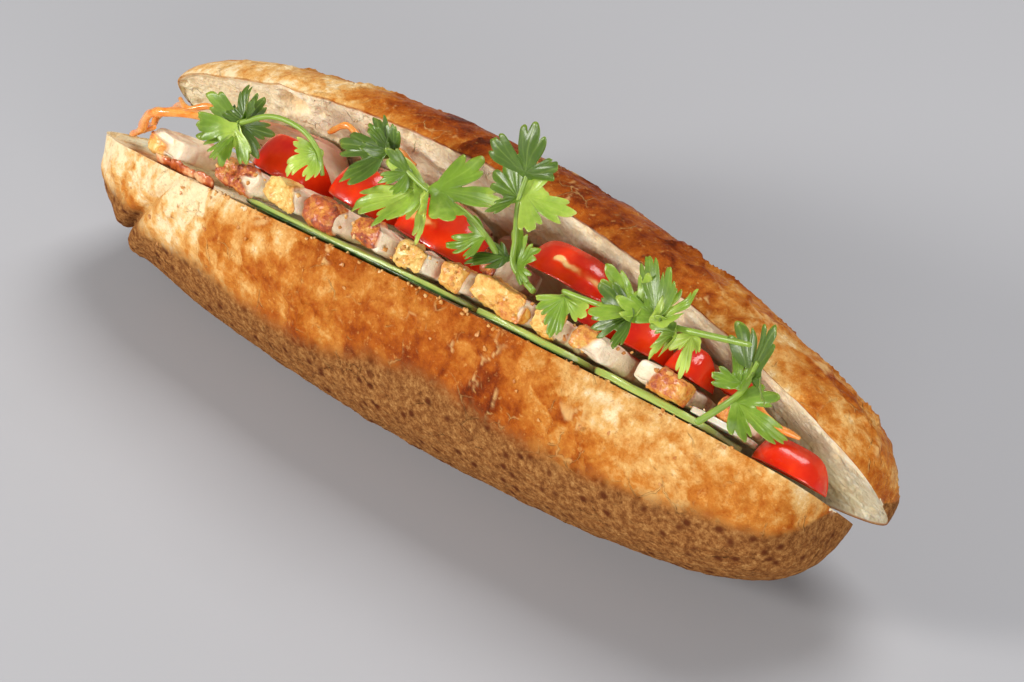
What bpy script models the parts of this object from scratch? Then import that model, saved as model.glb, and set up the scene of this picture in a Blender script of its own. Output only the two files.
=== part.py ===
"""Banh mi: a bread roll cut open along one side and filled with cucumber, roast pork,
tomato, ham, onion, carrot and coriander. It lies on the crust of its front half.

The two halves meet at the hinge, a line along X where the knife stopped. A place in
the filling is given as (along, across, up): millimetres along X, millimetres from the
middle of the opening towards the back half, and millimetres from the hinge outwards.
"""

import math

import bmesh
import bpy
import numpy as np
from mathutils import Euler, Matrix, Vector

MM = 0.001

# The roll
HALF_LENGTH = 118.5 * MM
HALF_HEIGHT = 34.0 * MM           # of a half's cut face, at mid-length
HINGE_TO_MIDDLE = 29.0 * MM       # from the hinge to the middle of a cut face
GAPE = 32.5                       # degrees between the cut faces at mid-length
LEAN = 121.4                      # degrees from +Y up to the middle of the opening
REST_HEIGHT = 14.2 * MM           # of the hinge above the surface it lies on
HINGE_BACK = 20.3 * MM            # of the hinge behind the middle of the whole
SECTIONS_ALONG = 24
SECTIONS_ROUND = 28

# depth: thickness of the half; taper: how soon it narrows towards its left and right
# tips; fullness: how blunt the tips are; twist and bow: degrees that the cut face
# turns from the middle to the right tip; shift: how far it has slid along X
FRONT = dict(sign=1, depth=35.5 * MM, taper=(1.7, 1.85), fullness=4.3,
             twist=-7.5, bow=1.5, shift=-4.5 * MM)
BACK = dict(sign=-1, depth=22.0 * MM, taper=(1.6, 2.06), fullness=3.3,
            twist=0.0, bow=13.2, shift=4.2 * MM)

# The crease that parts the heel from the rest of the front half
CREASE_AT_LIP = -78.0 * MM
CREASE_SLANT = -26.0 * MM
CREASE_WIDTH = 6.0 * MM
CREASE_DEPTH = 2.5 * MM

# The filling
GAP = 0.4 * MM                    # between pieces that lie against each other
CUCUMBER_THICKNESS = 1.8 * MM
HAM_THICKNESS = 1.4 * MM
ONION_THICKNESS = 1.5 * MM
CARROT_WIDTH = 2.2 * MM
LEAF_THICKNESS = 0.7 * MM
STEM_WIDTH = 1.5 * MM

BREAD_COLOUR = (0.62, 0.29, 0.08)
CUCUMBER_COLOUR = (0.55, 0.66, 0.32)
PORK_COLOUR = (0.80, 0.62, 0.40)
TOMATO_COLOUR = (0.62, 0.035, 0.012)
HAM_COLOUR = (0.78, 0.50, 0.38)
ONION_COLOUR = (0.82, 0.78, 0.68)
CARROT_COLOUR = (0.85, 0.33, 0.06)
LEAF_COLOUR = (0.16, 0.36, 0.04)


# ---------------------------------------------------------------- scene helpers

def clear_scene():
    """Remove every object, mesh, curve and collection that is already there."""
    for obj in list(bpy.data.objects):
        bpy.data.objects.remove(obj, do_unlink=True)
    for group in (bpy.data.meshes, bpy.data.curves, bpy.data.materials):
        for block in list(group):
            group.remove(block)
    for collection in list(bpy.data.collections):
        bpy.data.collections.remove(collection)


def new_collection(name):
    """A collection linked to the scene."""
    collection = bpy.data.collections.new(name)
    bpy.context.scene.collection.children.link(collection)
    return collection


def food_material(name, colour, roughness):
    """A Principled material with the food's plain colour."""
    material = bpy.data.materials.new(name)
    material.use_nodes = True
    shader = material.node_tree.nodes["Principled BSDF"]
    shader.inputs["Base Color"].default_value = (*colour, 1.0)
    shader.inputs["Roughness"].default_value = roughness
    shader.inputs["Metallic"].default_value = 0.0
    return material


def mesh_object(name, bm, material, collection):
    """Turn a bmesh into an object of its own, with outward faces."""
    bmesh.ops.recalc_face_normals(bm, faces=bm.faces)
    mesh = bpy.data.meshes.new(name)
    bm.to_mesh(mesh)
    bm.free()
    mesh.shade_smooth()
    mesh.set_sharp_from_angle(angle=math.radians(40))
    obj = bpy.data.objects.new(name, mesh)
    mesh.materials.append(material)
    collection.objects.link(obj)
    return obj


def make_guide(obj):
    """Mark an object as one that only cuts or joins another."""
    obj.hide_render = True
    obj.display_type = "WIRE"


# ---------------------------------------------------------------- the opening

def cut_face_angle(half, x):
    """Direction of a half's cut face at x, in radians from +Y, seen along X."""
    along = (x - half["shift"]) / HALF_LENGTH
    turned = half["twist"] * along + half["bow"] * along ** 2
    return np.radians(LEAN + half["sign"] * GAPE / 2 + turned)


def against_face(half, x, outward, off):
    """World point at a distance off a cut face, outward from the hinge."""
    angle = cut_face_angle(half, x)
    into = angle - half["sign"] * math.pi / 2
    y = HINGE_BACK + outward * np.cos(angle) + off * np.cos(into)
    z = REST_HEIGHT + outward * np.sin(angle) + off * np.sin(into)
    return x, y, z


def opening_axes():
    """Unit vectors of the filling's (along, across, up) in world axes."""
    lean = math.radians(LEAN)
    up = Vector((0, math.cos(lean), math.sin(lean)))
    across = Vector((0, math.sin(lean), -math.cos(lean)))
    return Vector((1, 0, 0)), across, up


def filling_point(along, across, up):
    """World point of a place in the filling, given in millimetres."""
    axis_x, axis_across, axis_up = opening_axes()
    hinge = Vector((0, HINGE_BACK, REST_HEIGHT))
    offset = axis_x * along + axis_across * across + axis_up * up
    return hinge + offset * MM


def turned_by(degrees):
    """Rotation matrix of three angles in degrees."""
    return Euler([math.radians(angle) for angle in degrees]).to_matrix().to_4x4()


def beside_face_matrix(half, along, outward, off, turn):
    """Matrix that stands a piece off a cut face, its Y pointing away from the face."""
    point = Vector(against_face(half, along * MM, outward * MM, off * MM))
    angle = cut_face_angle(half, along * MM)
    into = angle - half["sign"] * math.pi / 2
    away = Vector((0, math.cos(into), math.sin(into)))
    up = Vector((0, math.cos(angle), math.sin(angle)))
    axes = Matrix((Vector((1, 0, 0)), away, up)).transposed().to_4x4()
    return Matrix.Translation(point) @ axes @ turned_by(turn)


def narrowing(half, along):
    """Share of its full section that a half has at along, from -1 to 1."""
    taper = np.where(along < 0, half["taper"][0], half["taper"][1])
    return np.clip(1 - np.abs(along) ** taper, 0, 1) ** (1 / half["fullness"])


def lip(half, x):
    """Distance from the hinge to the lip of a cut face at x."""
    along = (x - half["shift"]) / HALF_LENGTH
    return HINGE_TO_MIDDLE + HALF_HEIGHT * narrowing(half, along)


# ---------------------------------------------------------------- bread

def crust_relief(half, x, round_angle):
    """How far the crust stands off its smooth form: slow waves, and the heel's crease."""
    waves = 0.5 * np.sin(x / (17 * MM) + 2.0 * round_angle)
    waves = waves + 0.35 * np.sin(x / (9.5 * MM) - 3.0 * round_angle + 1.0)
    relief = waves * MM
    if half["sign"] > 0:
        crease_x = CREASE_AT_LIP + CREASE_SLANT * np.sin(round_angle * 0.75)
        relief = relief - CREASE_DEPTH * np.exp(-(((x - crease_x) / CREASE_WIDTH) ** 2))
    return relief * np.sin(round_angle)


def bread_half(name, half, material, collection):
    """One half: a ball drawn out along X whose lower side is pressed flat.

    Across its length the half is half an ellipse. It narrows to the tips by
    (1 - |X|^taper)^(1/fullness), and its flat side is the cut face.
    """
    bm = bmesh.new()
    bmesh.ops.create_uvsphere(bm, u_segments=SECTIONS_ROUND,
                              v_segments=SECTIONS_ALONG, radius=1.0)
    ball = np.array([vert.co for vert in bm.verts])
    along = np.clip(ball[:, 2], -1.0, 1.0)
    round_angle = np.arctan2(ball[:, 1], ball[:, 0])
    share = narrowing(half, along)
    crust = np.clip(np.sin(round_angle), 0, 1)
    x = along * HALF_LENGTH + half["shift"]
    relief = crust_relief(half, x, np.clip(round_angle, 0, math.pi)) * (crust > 0)
    outward = HINGE_TO_MIDDLE + (HALF_HEIGHT * share + relief) * np.cos(round_angle)
    depth = (half["depth"] * share + relief) * crust
    _, y, z = against_face(half, x, outward, -depth)
    for vert, place in zip(bm.verts, np.column_stack((x, y, z))):
        vert.co = place
    return mesh_object(name, bm, material, collection)


def press_flat(obj):
    """Cut the crust off at z = 0, to give the roll its small flat spot."""
    bm = bmesh.new()
    bm.from_mesh(obj.data)
    everything = bm.verts[:] + bm.edges[:] + bm.faces[:]
    bmesh.ops.bisect_plane(bm, geom=everything, plane_co=(0, 0, 0), plane_no=(0, 0, -1),
                           clear_outer=True)
    bmesh.ops.holes_fill(bm, edges=[edge for edge in bm.edges if edge.is_boundary])
    bm.to_mesh(obj.data)
    bm.free()


def build_bread(parts, guides):
    """The roll: both halves joined along the hinge."""
    material = food_material("crust", BREAD_COLOUR, 0.45)
    roll = bread_half("bread_roll", FRONT, material, parts)
    press_flat(roll)
    back = bread_half("back_half", BACK, material, guides)
    make_guide(back)
    join = roll.modifiers.new("hinge", "BOOLEAN")
    join.operation = "UNION"
    join.object = back
    return roll


# ---------------------------------------------------------------- laid slices

def laid_slice(name, half, span, reach, off, thickness, material, parts, wave=0.0):
    """A thin slice that follows a cut face along X, over a span from start to end.

    It is a grid with rounded ends, and it bends with the face. reach is how far its
    inner and outer edges lie below the lip, off is its distance from the face, and
    wave lets it stand off the face by a ripple of that height.
    """
    bm = bmesh.new()
    bmesh.ops.create_grid(bm, x_segments=10, y_segments=3, size=1.0)
    flat = np.array([vert.co for vert in bm.verts])
    start, end = span
    inner, outer = reach
    height = 1 - 0.45 * np.abs(flat[:, 0]) ** 6
    x = ((start + end) / 2 + flat[:, 0] * (end - start) / 2) * MM
    below_lip = (inner + outer) / 2 + flat[:, 1] * height * (outer - inner) / 2
    outward = lip(half, x) - below_lip * MM
    ripple = wave * MM * (1 + np.sin(x / (7 * MM)) * np.cos(outward / (9 * MM)))
    _, y, z = against_face(half, x, outward, off * MM + thickness / 2 + ripple)
    for vert, place in zip(bm.verts, np.column_stack((x, y, z))):
        vert.co = place
    piece = mesh_object(name, bm, material, parts)
    shell = piece.modifiers.new("thickness", "SOLIDIFY")
    shell.thickness = thickness
    shell.offset = 0.0
    return piece


# span along X, inner and outer edge below the lip, distance off the cut face (mm)
CUCUMBERS = [((-58, 20), (26, -0.5), 0.4),
             ((21.5, 55), (26, -0.8), 0.4),
             ((57, 90), (24, -0.8), 0.4)]
HAM = [((-94, -52), (36, 15), 0.6),
       ((-50, -2), (42, 18.5), 0.6),
       ((0, 44), (42, 20), 0.6),
       ((46, 90), (38, 16), 0.6)]


def build_cucumber(parts):
    """Long slices, skin edge up, against the front half."""
    material = food_material("cucumber", CUCUMBER_COLOUR, 0.35)
    for number, (span, reach, off) in enumerate(CUCUMBERS, 1):
        laid_slice(f"cucumber_slice_{number}", FRONT, span, reach, off,
                   CUCUMBER_THICKNESS, material, parts)


def build_ham(parts):
    """Thin slices against the back half."""
    material = food_material("ham", HAM_COLOUR, 0.5)
    for number, (span, reach, off) in enumerate(HAM, 1):
        laid_slice(f"ham_slice_{number}", BACK, span, reach, off,
                   HAM_THICKNESS, material, parts, wave=0.6)


# ---------------------------------------------------------------- roast pork

# place: along X, height of its top over the lip, distance off the front cut face;
# size: along X, thickness, height; turn in degrees (mm)
PORK = [((-86, 1.0, 5.6), (14, 6.5, 24), (2, -8, 3)),
        ((-57, 1.5, 6.0), (15, 6.5, 25), (2, -12, 3)),
        ((-39.5, 2.5, 6.3), (12, 6.3, 25), (0, -14, -2)),
        ((-24.5, 3.5, 6.0), (11, 6.5, 26), (0, -18, 2)),
        ((-8.5, 2.5, 6.1), (11.5, 6.2, 25), (0, -18, -2)),
        ((6.0, 3.0, 5.8), (11, 6.4, 26), (0, -18, 2)),
        ((17.2, 2.0, 5.8), (7.5, 6.4, 25), (0, -14, 2)),
        ((30.5, 3.0, 6.1), (16, 6.4, 25), (0, -6, 0)),
        ((44.5, 2.0, 5.8), (7.5, 6.4, 25), (0, -6, 2)),
        ((58.8, 5.0, 5.8), (10, 6.2, 27), (0, -4, -2)),
        ((75.2, 3.0, 5.6), (14.5, 5.8, 24), (0, 6, 1)),
        ((92.2, 1.5, 7.2), (6.5, 5.0, 18), (0, 4, 2)),
        ((20.6, -2.0, 12.8), (6.0, 6.0, 18), (0, -4, 0))]
PORK_EDGE = 1.5 * MM


def build_pork(parts):
    """Thick crosswise slices that stand side by side, crackling outwards."""
    material = food_material("roast_pork", PORK_COLOUR, 0.5)
    rng = np.random.default_rng(11)
    for number, (place, size, turn) in enumerate(PORK, 1):
        bm = bmesh.new()
        bmesh.ops.create_cube(bm, size=1.0)
        for vert in bm.verts:
            uneven = rng.uniform(0.88, 1.0, 3)
            vert.co = Vector([vert.co[i] * size[i] * uneven[i] * MM for i in range(3)])
        piece = mesh_object(f"pork_slice_{number}", bm, material, parts)
        along, over_lip, off = place
        outward = lip(FRONT, along * MM) / MM + over_lip - size[2] / 2
        piece.matrix_world = beside_face_matrix(FRONT, along, outward, off, turn)
        rounding = piece.modifiers.new("cut edges", "BEVEL")
        rounding.width = PORK_EDGE
        rounding.segments = 2


# ---------------------------------------------------------------- tomato

# place of the wedge's edge: along X, out from the hinge, off the front cut face;
# length and radius; turn in degrees about its own axes (mm)
TOMATOES = [((-55, 43, 10.1), 23, 12.5, (4, 2, 2)),
            ((-30.5, 43, 11.5), 19, 12.5, (4, -4, -2)),
            ((-2.3, 43, 10.3), 33, 13.5, (3, 2, 0)),
            ((34.5, 44, 16.6), 28, 11.0, (4, 2, 2)),
            ((46.2, 46, 9.6), 11, 7.5, (0, 4, 1)),
            ((60.8, 45, 9.6), 15, 10.5, (0, 4, 1)),
            ((75.2, 46, 9.2), 12, 9.5, (0, 4, 1)),
            ((86, 42, 10.6), 8.5, 8.5, (0, 8, 0)),
            ((104.8, 38.0, 1.0), 19, 9.0, (0, 17, 3))]
WEDGE_ANGLE = 54.0
TOMATO_FULLNESS = 2.8


def tomato_wedge(name, length, radius, material, parts):
    """A wedge: a drawn-out, blunt-ended ball cut by two planes through its long axis."""
    bm = bmesh.new()
    bmesh.ops.create_uvsphere(bm, u_segments=30, v_segments=12, radius=1.0,
                              matrix=Matrix.Rotation(math.pi / 2, 4, "Y"))
    for vert in bm.verts:
        round_part = math.sqrt(max(1 - vert.co.x ** 2, 1e-9))
        blunt = math.sqrt(max(1 - abs(vert.co.x) ** TOMATO_FULLNESS, 0)) / round_part
        across = radius * blunt
        vert.co = Vector((vert.co.x * length / 2, vert.co.y * across, vert.co.z * across)) * MM
    for side in (-1, 1):
        half_angle = math.radians(WEDGE_ANGLE / 2)
        normal = Vector((0, side * math.cos(half_angle), -math.sin(half_angle)))
        everything = bm.verts[:] + bm.edges[:] + bm.faces[:]
        bmesh.ops.bisect_plane(bm, geom=everything, plane_co=(0, 0, 0), plane_no=normal,
                               clear_outer=True)
        bmesh.ops.holes_fill(bm, edges=[edge for edge in bm.edges if edge.is_boundary])
    bmesh.ops.remove_doubles(bm, verts=bm.verts, dist=0.01 * MM)
    return mesh_object(name, bm, material, parts)


def build_tomato(parts):
    """Wedges in a row between the pork and the back half, skin up."""
    material = food_material("tomato", TOMATO_COLOUR, 0.2)
    upright = Matrix.Rotation(math.radians(-WEDGE_ANGLE / 2), 4, "X")
    for number, (place, length, radius, turn) in enumerate(TOMATOES, 1):
        wedge = tomato_wedge(f"tomato_wedge_{number}", length, radius, material, parts)
        wedge.matrix_world = beside_face_matrix(FRONT, *place, turn) @ upright


# ---------------------------------------------------------------- onion and carrot

def build_onion(parts):
    """A curved slice of onion that stands near the right end."""
    material = food_material("onion", ONION_COLOUR, 0.3)
    laid_slice("onion_slice_1", FRONT, (84, 96.5), (14, -1.5), 2.7, ONION_THICKNESS,
               material, parts)


# points (along, across, up)
CARROTS = [((-104, -18, 50), (-97, -17, 56), (-88, -14, 66), (-76, -9, 66), (-66, -5, 62)),
           ((-104, -12, 46), (-96, -10, 55), (-84, -8, 60), (-74, -5, 58)),
           ((-36, 8, 53), (-30, 11, 56), (-22, 10.5, 53))]


def tube(name, points, width, sides_resolution, material, collection):
    """A closed round strand through points, made a mesh."""
    curve = bpy.data.curves.new(name, "CURVE")
    curve.dimensions = "3D"
    curve.bevel_depth = width / 2
    curve.bevel_resolution = sides_resolution
    curve.use_fill_caps = True
    spline = curve.splines.new("POLY")
    smooth = smooth_route(points)
    spline.points.add(len(smooth) - 1)
    for point, place in zip(spline.points, smooth):
        point.co = (*place, 1.0)
    drawn = bpy.data.objects.new(name + "_curve", curve)
    collection.objects.link(drawn)
    bpy.context.view_layer.update()
    evaluated = drawn.evaluated_get(bpy.context.evaluated_depsgraph_get())
    mesh = bpy.data.meshes.new_from_object(evaluated)
    bm = bmesh.new()
    bm.from_mesh(mesh)
    bmesh.ops.remove_doubles(bm, verts=bm.verts, dist=0.01 * MM)
    bpy.data.objects.remove(drawn, do_unlink=True)
    return mesh_object(name, bm, material, collection)


def smooth_route(points, steps=2):
    """World points on a smooth curve through filling places (Catmull-Rom)."""
    world = [filling_point(*point) for point in points]
    world = [world[0] * 2 - world[1], *world, world[-1] * 2 - world[-2]]
    route = []
    for before, start, end, after in zip(world, world[1:], world[2:], world[3:]):
        for step in range(steps):
            t = step / steps
            bend = (start * 2 + (end - before) * t
                    + (before * 2 - start * 5 + end * 4 - after) * t ** 2
                    + (start * 3 - before - end * 3 + after) * t ** 3) / 2
            route.append(bend)
    route.append(world[-2])
    return route


def build_carrot(parts):
    """Shreds of pickled carrot."""
    material = food_material("carrot", CARROT_COLOUR, 0.35)
    for number, points in enumerate(CARROTS, 1):
        tube(f"carrot_shred_{number}", points, CARROT_WIDTH, 1, material, parts)


# ---------------------------------------------------------------- coriander

# Each sprig has stems, as points (along, across, up), and leaflets, as a base, a tip
# and a width (mm). The first stem is the one that the others grow from.
SPRIGS = [
    dict(stems=[((-63, -6, 69), (-53, -1, 75), (-43, 0, 76), (-36, -2, 72), (-33, -6, 65))],
         leaves=[((-62, -6, 69), (-75, -14, 67), 18), ((-62, -6, 69), (-55, -1, 62), 14),
                 ((-62, -6.5, 69), (-64, -19, 64), 17), ((-36, -2, 72), (-40, -10, 68), 12)]),
    dict(stems=[((-15, 5, 79), (0, 2, 77), (12, 2, 76), (20, 0, 72), (24, -2, 66))],
         leaves=[((-14, 5, 79), (-31, 0, 76), 18), ((-1, 2, 77), (-17, -10, 74), 18),
                 ((0, 2, 77), (4, -10, 70), 12), ((2, 2.5, 77), (18, 10, 76), 16),
                 ((20, 0, 72), (11, -5, 70), 10)]),
    dict(stems=[((26, 15, 84), (26, 9, 80), (27, 3, 72), (29, -2, 66), (38, -5, 66))],
         leaves=[((26, 14, 84), (25, 22, 94), 18), ((26, 10, 80), (17, 11, 82), 14),
                 ((26, 11, 81), (40, 14, 80), 16), ((29, -2, 66), (36, 4, 71), 12)]),
    dict(stems=[((46, -2, 68), (56, -1, 69), (68, 1, 70), (78, 3, 70), (99, 7, 74))],
         leaves=[((47, -2, 68), (50, -13, 67), 13), ((67.4, 1.2, 70), (55, 6, 73), 15),
                 ((67, 0.8, 70.1), (58, -8, 69), 15), ((73, 2, 70), (62, 12, 75), 12),
                 ((79, 3, 70), (75, -7, 68), 11)]),
    dict(stems=[((93, -12, 64), (98, -4, 66), (101, 0, 70), (103, 4, 75))],
         leaves=[((101.2, 0.3, 70.2), (105, 9, 82), 18),
                 ((98.3, -3.8, 66.4), (112, -5, 61), 12)])]
LEAF_HALF_SPREAD = 72.0
LEAF_POINTS = 12


def leaf_blade(name, base, tip, width, material, collection):
    """A leaflet: a fan of three lobes from its base, cupped and given a thickness."""
    root = filling_point(*base)
    forward = filling_point(*tip) - root
    _, _, up = opening_axes()
    sideways = forward.cross(up).normalized() * (width * MM / 2)
    lift = sideways.cross(forward).normalized()
    bm = bmesh.new()
    rim = []
    for step in range(LEAF_POINTS + 1):
        spread = (2 * step / LEAF_POINTS - 1) * LEAF_HALF_SPREAD
        lobe = 0.86 + 0.14 * math.cos(math.radians(spread * 5))
        ahead = math.cos(math.radians(spread)) * lobe
        aside = math.sin(math.radians(spread)) * lobe
        place = root + forward * ahead + sideways * aside + lift * (aside ** 2 * 1.5 * MM)
        rim.append(bm.verts.new(place))
    centre = bm.verts.new(root - forward.normalized() * 0.4 * MM)
    for first, second in zip(rim, rim[1:]):
        bm.faces.new((centre, first, second))
    blade = mesh_object(name, bm, material, collection)
    shell = blade.modifiers.new("thickness", "SOLIDIFY")
    shell.thickness = LEAF_THICKNESS
    shell.offset = 0.0
    make_guide(blade)
    return blade


def build_coriander(parts, guides):
    """Sprigs on top: a stem with its side stems and leaflets joined to it."""
    material = food_material("coriander", LEAF_COLOUR, 0.45)
    for number, sprig in enumerate(SPRIGS, 1):
        name = f"coriander_sprig_{number}"
        stem = tube(name, sprig["stems"][0], STEM_WIDTH, 1, material, parts)
        for index, (base, tip, width) in enumerate(sprig["leaves"], 1):
            blade = leaf_blade(f"leaf_{number}_{index}", base, tip, width, material, guides)
            join = stem.modifiers.new(f"leaf {index}", "BOOLEAN")
            join.operation = "UNION"
            join.object = blade


def build():
    """Make the whole sandwich."""
    clear_scene()
    parts = new_collection("banh_mi")
    guides = new_collection("guides")
    build_bread(parts, guides)
    build_cucumber(parts)
    build_ham(parts)
    build_pork(parts)
    build_tomato(parts)
    build_onion(parts)
    build_carrot(parts)
    build_coriander(parts, guides)


build()
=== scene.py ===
import math

import bpy
import numpy as np
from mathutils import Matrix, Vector


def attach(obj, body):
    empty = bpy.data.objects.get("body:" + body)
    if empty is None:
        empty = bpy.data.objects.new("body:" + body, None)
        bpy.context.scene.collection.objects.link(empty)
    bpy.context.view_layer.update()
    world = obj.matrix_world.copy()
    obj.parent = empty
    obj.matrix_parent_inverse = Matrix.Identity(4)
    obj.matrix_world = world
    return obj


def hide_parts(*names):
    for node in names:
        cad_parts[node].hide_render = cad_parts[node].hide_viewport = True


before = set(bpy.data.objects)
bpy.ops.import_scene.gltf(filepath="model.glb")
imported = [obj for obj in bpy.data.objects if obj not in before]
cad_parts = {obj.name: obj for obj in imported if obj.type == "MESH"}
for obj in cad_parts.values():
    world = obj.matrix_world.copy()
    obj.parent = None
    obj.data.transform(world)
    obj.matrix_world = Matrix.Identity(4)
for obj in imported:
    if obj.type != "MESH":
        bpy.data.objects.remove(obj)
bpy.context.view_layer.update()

MM = 0.001

# ---------------------------------------------------------------- driving sizes (mm, degrees)

# The roll: two halves that meet at the hinge, a line along X where the knife stopped.
# GAPE is the angle between the cut faces, and LEAN is where the opening faces, from +Y.
HALF_LENGTH = 118.5
HALF_HEIGHT = 34.0
HINGE_TO_MIDDLE = 29.0
GAPE = 32.5
LEAN = 121.4
HINGE_HIGH = 14.2
HINGE_BACK = 20.3
# sign: which side of the opening; depth: how far the crust stands off the cut face;
# taper (left and right tip) and fullness: powers that shape the tips; twist and bow: how
# far the cut face turns towards the tips, evenly and by the square; shift: along X
FRONT = dict(sign=1, depth=35.5, taper=(1.7, 1.85), fullness=4.3, twist=-7.5, bow=1.5, shift=-4.5)
BACK = dict(sign=-1, depth=22.0, taper=(1.6, 2.06), fullness=3.3, twist=0.0, bow=13.2, shift=4.2)
STATIONS_ALONG = 320
POINTS_ROUND_CRUST = 185
POINTS_ACROSS_FACE = 90
TIP_STATIONS = 18
TIP_SHARE = 0.55

# ---------------------------------------------------------------- numbers that look random


def lattice_value(ix, iy, iz, seed):
    """An even spread of values from 0 to 1: a whole-number hash of a lattice place."""
    mixed = ix * 374761393 + iy * 668265263 + iz * 1442695041 + seed * 1013904223
    mixed = (mixed ^ (mixed >> 13)) * 1274126177
    mixed = mixed ^ (mixed >> 16)
    return (mixed & 0xFFFFFF) / 0xFFFFFF


def smooth_noise(points, size, seed):
    """Noise from -1 to 1: the eight lattice values round a point, blended by 3t^2 - 2t^3."""
    cell = points / size
    low = np.floor(cell).astype(np.int64)
    blend = cell - low
    blend = blend * blend * (3 - 2 * blend)
    total = np.zeros(points.shape[:-1])
    for corner in range(8):
        step = np.array([corner & 1, corner >> 1 & 1, corner >> 2])
        weight = np.prod(np.where(step == 1, blend, 1 - blend), axis=-1)
        place = low + step
        total += weight * lattice_value(place[..., 0], place[..., 1], place[..., 2], seed)
    return 2 * total - 1


def layered_noise(points, size, seed, layers=4):
    """Sum of noises, each of half the size and half the height of the one before."""
    total = np.zeros(points.shape[:-1])
    for layer in range(layers):
        total += smooth_noise(points, size / 2 ** layer, seed + layer) / 2 ** layer
    return total / (2 - 2 / 2 ** layers)


def cell_distances(points, size, seed):
    """Distance in cells to the nearest and the next of points scattered one to a cell,
    and the nearest one's own value from 0 to 1."""
    cell = points / size
    low = np.floor(cell).astype(np.int64)
    nearest = np.full(points.shape[:-1], 9.0)
    second = np.full(points.shape[:-1], 9.0)
    value = np.zeros(points.shape[:-1])
    for number in range(27):
        place = low + np.array([number % 3 - 1, number // 3 % 3 - 1, number // 9 - 1])
        axes = (place[..., 0], place[..., 1], place[..., 2])
        seat = place + np.stack([lattice_value(*axes, seed + k) for k in range(3)], axis=-1)
        distance = np.linalg.norm(cell - seat, axis=-1)
        closer = distance < nearest
        second = np.where(closer, nearest, np.minimum(second, distance))
        value = np.where(closer, lattice_value(*axes, seed + 7), value)
        nearest = np.where(closer, distance, nearest)
    return nearest, second, value


def step_up(value, low, high):
    """0 below low, 1 above high, and a smooth rise between them."""
    share = np.clip((value - low) / (high - low), 0, 1)
    return share * share * (3 - 2 * share)


def dome(value, middle, width):
    """A bell: 1 at the middle, falling to nothing by exp(-((value - middle) / width)^2)."""
    return np.exp(-((value - middle) / width) ** 2)


# ---------------------------------------------------------------- meshes from arrays


def closed_rings(rings):
    """Points and faces of a surface made of closed rings, shut at both ends by a point.

    rings is an array (ring, point, xyz). The faces are turned outwards by the sign of
    the volume that they enclose.
    """
    count, around = rings.shape[:2]
    points = np.concatenate((rings.reshape(-1, 3), rings[0].mean(0)[None],
                             rings[-1].mean(0)[None]))
    first, step = np.meshgrid(np.arange(count - 1) * around, np.arange(around), indexing="ij")
    ahead = (step + 1) % around
    quads = np.stack((first + step, first + ahead, first + around + ahead,
                      first + around + step), axis=-1).reshape(-1, 4)
    this = np.arange(around)
    after = (this + 1) % around
    start, end = count * around, count * around + 1
    last = (count - 1) * around
    fans = np.concatenate((np.stack((after, this, np.full(around, start)), axis=-1),
                           np.stack((last + this, last + after, np.full(around, end)), axis=-1)))
    corners = points[quads]
    volume = np.sum(np.cross(corners[:, 1] - corners[:, 0], corners[:, 2] - corners[:, 0])
                    * corners[:, 0])
    volume += np.sum(np.cross(corners[:, 2] - corners[:, 0], corners[:, 3] - corners[:, 0])
                     * corners[:, 0])
    if volume < 0:
        quads = quads[:, ::-1]
        fans = fans[:, ::-1]
    return points, quads, fans


def ring_values(values):
    """A value for each point of closed_rings: the rings' own, then the two end points'."""
    return np.concatenate((values.ravel(), [values[0].mean(), values[-1].mean()]))


def join_surfaces(surfaces):
    """Several (points, quads, fans, values) surfaces as one."""
    points, quads, fans = [], [], []
    values = {key: [] for key in surfaces[0][3]}
    start = 0
    for surface_points, surface_quads, surface_fans, surface_values in surfaces:
        points.append(surface_points)
        quads.append(surface_quads + start)
        fans.append(surface_fans + start)
        for key in values:
            values[key].append(surface_values[key])
        start += len(surface_points)
    values = {key: np.concatenate(parts) for key, parts in values.items()}
    return np.concatenate(points), np.concatenate(quads), np.concatenate(fans), values


def add_piece(name, surface, material, nodes=(), sharp=None):
    """A mesh object from a surface in millimetres, riding on the root body."""
    points, quads, fans, values = surface
    mesh = bpy.data.meshes.new(name)
    mesh.vertices.add(len(points))
    mesh.vertices.foreach_set("co", (points * MM).astype(np.float32).ravel())
    corners = np.concatenate((quads.ravel(), fans.ravel())).astype(np.int32)
    mesh.loops.add(len(corners))
    mesh.loops.foreach_set("vertex_index", corners)
    sizes = np.concatenate((np.full(len(quads), 4), np.full(len(fans), 3)))
    mesh.polygons.add(len(sizes))
    mesh.polygons.foreach_set("loop_start", (np.cumsum(sizes) - sizes).astype(np.int32))
    mesh.update(calc_edges=True)
    mesh.validate()
    mesh.shade_smooth()
    if sharp:
        mesh.set_sharp_from_angle(angle=math.radians(sharp))
    for key, array in values.items():
        mesh.attributes.new(key, "FLOAT", "POINT").data.foreach_set(
            "value", array.astype(np.float32))
    mesh.materials.append(material)
    piece = bpy.data.objects.new(name, mesh)
    bpy.context.scene.collection.objects.link(piece)
    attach(piece, "root")
    if nodes:
        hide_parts(*nodes)


def surface_normals(grid, outward):
    """Unit normals of a grid of closed rings, turned to the side of outward.

    They are the cross product of the grid's two directions.
    """
    along = np.gradient(grid, axis=0)
    around = (np.roll(grid, -1, axis=1) - np.roll(grid, 1, axis=1)) / 2
    normal = np.cross(along, around)
    normal = normal / np.maximum(np.linalg.norm(normal, axis=-1, keepdims=True), 1e-9)
    facing = np.sign(np.sum(normal * outward, axis=-1, keepdims=True))
    return normal * np.where(facing == 0, 1, facing)


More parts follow.
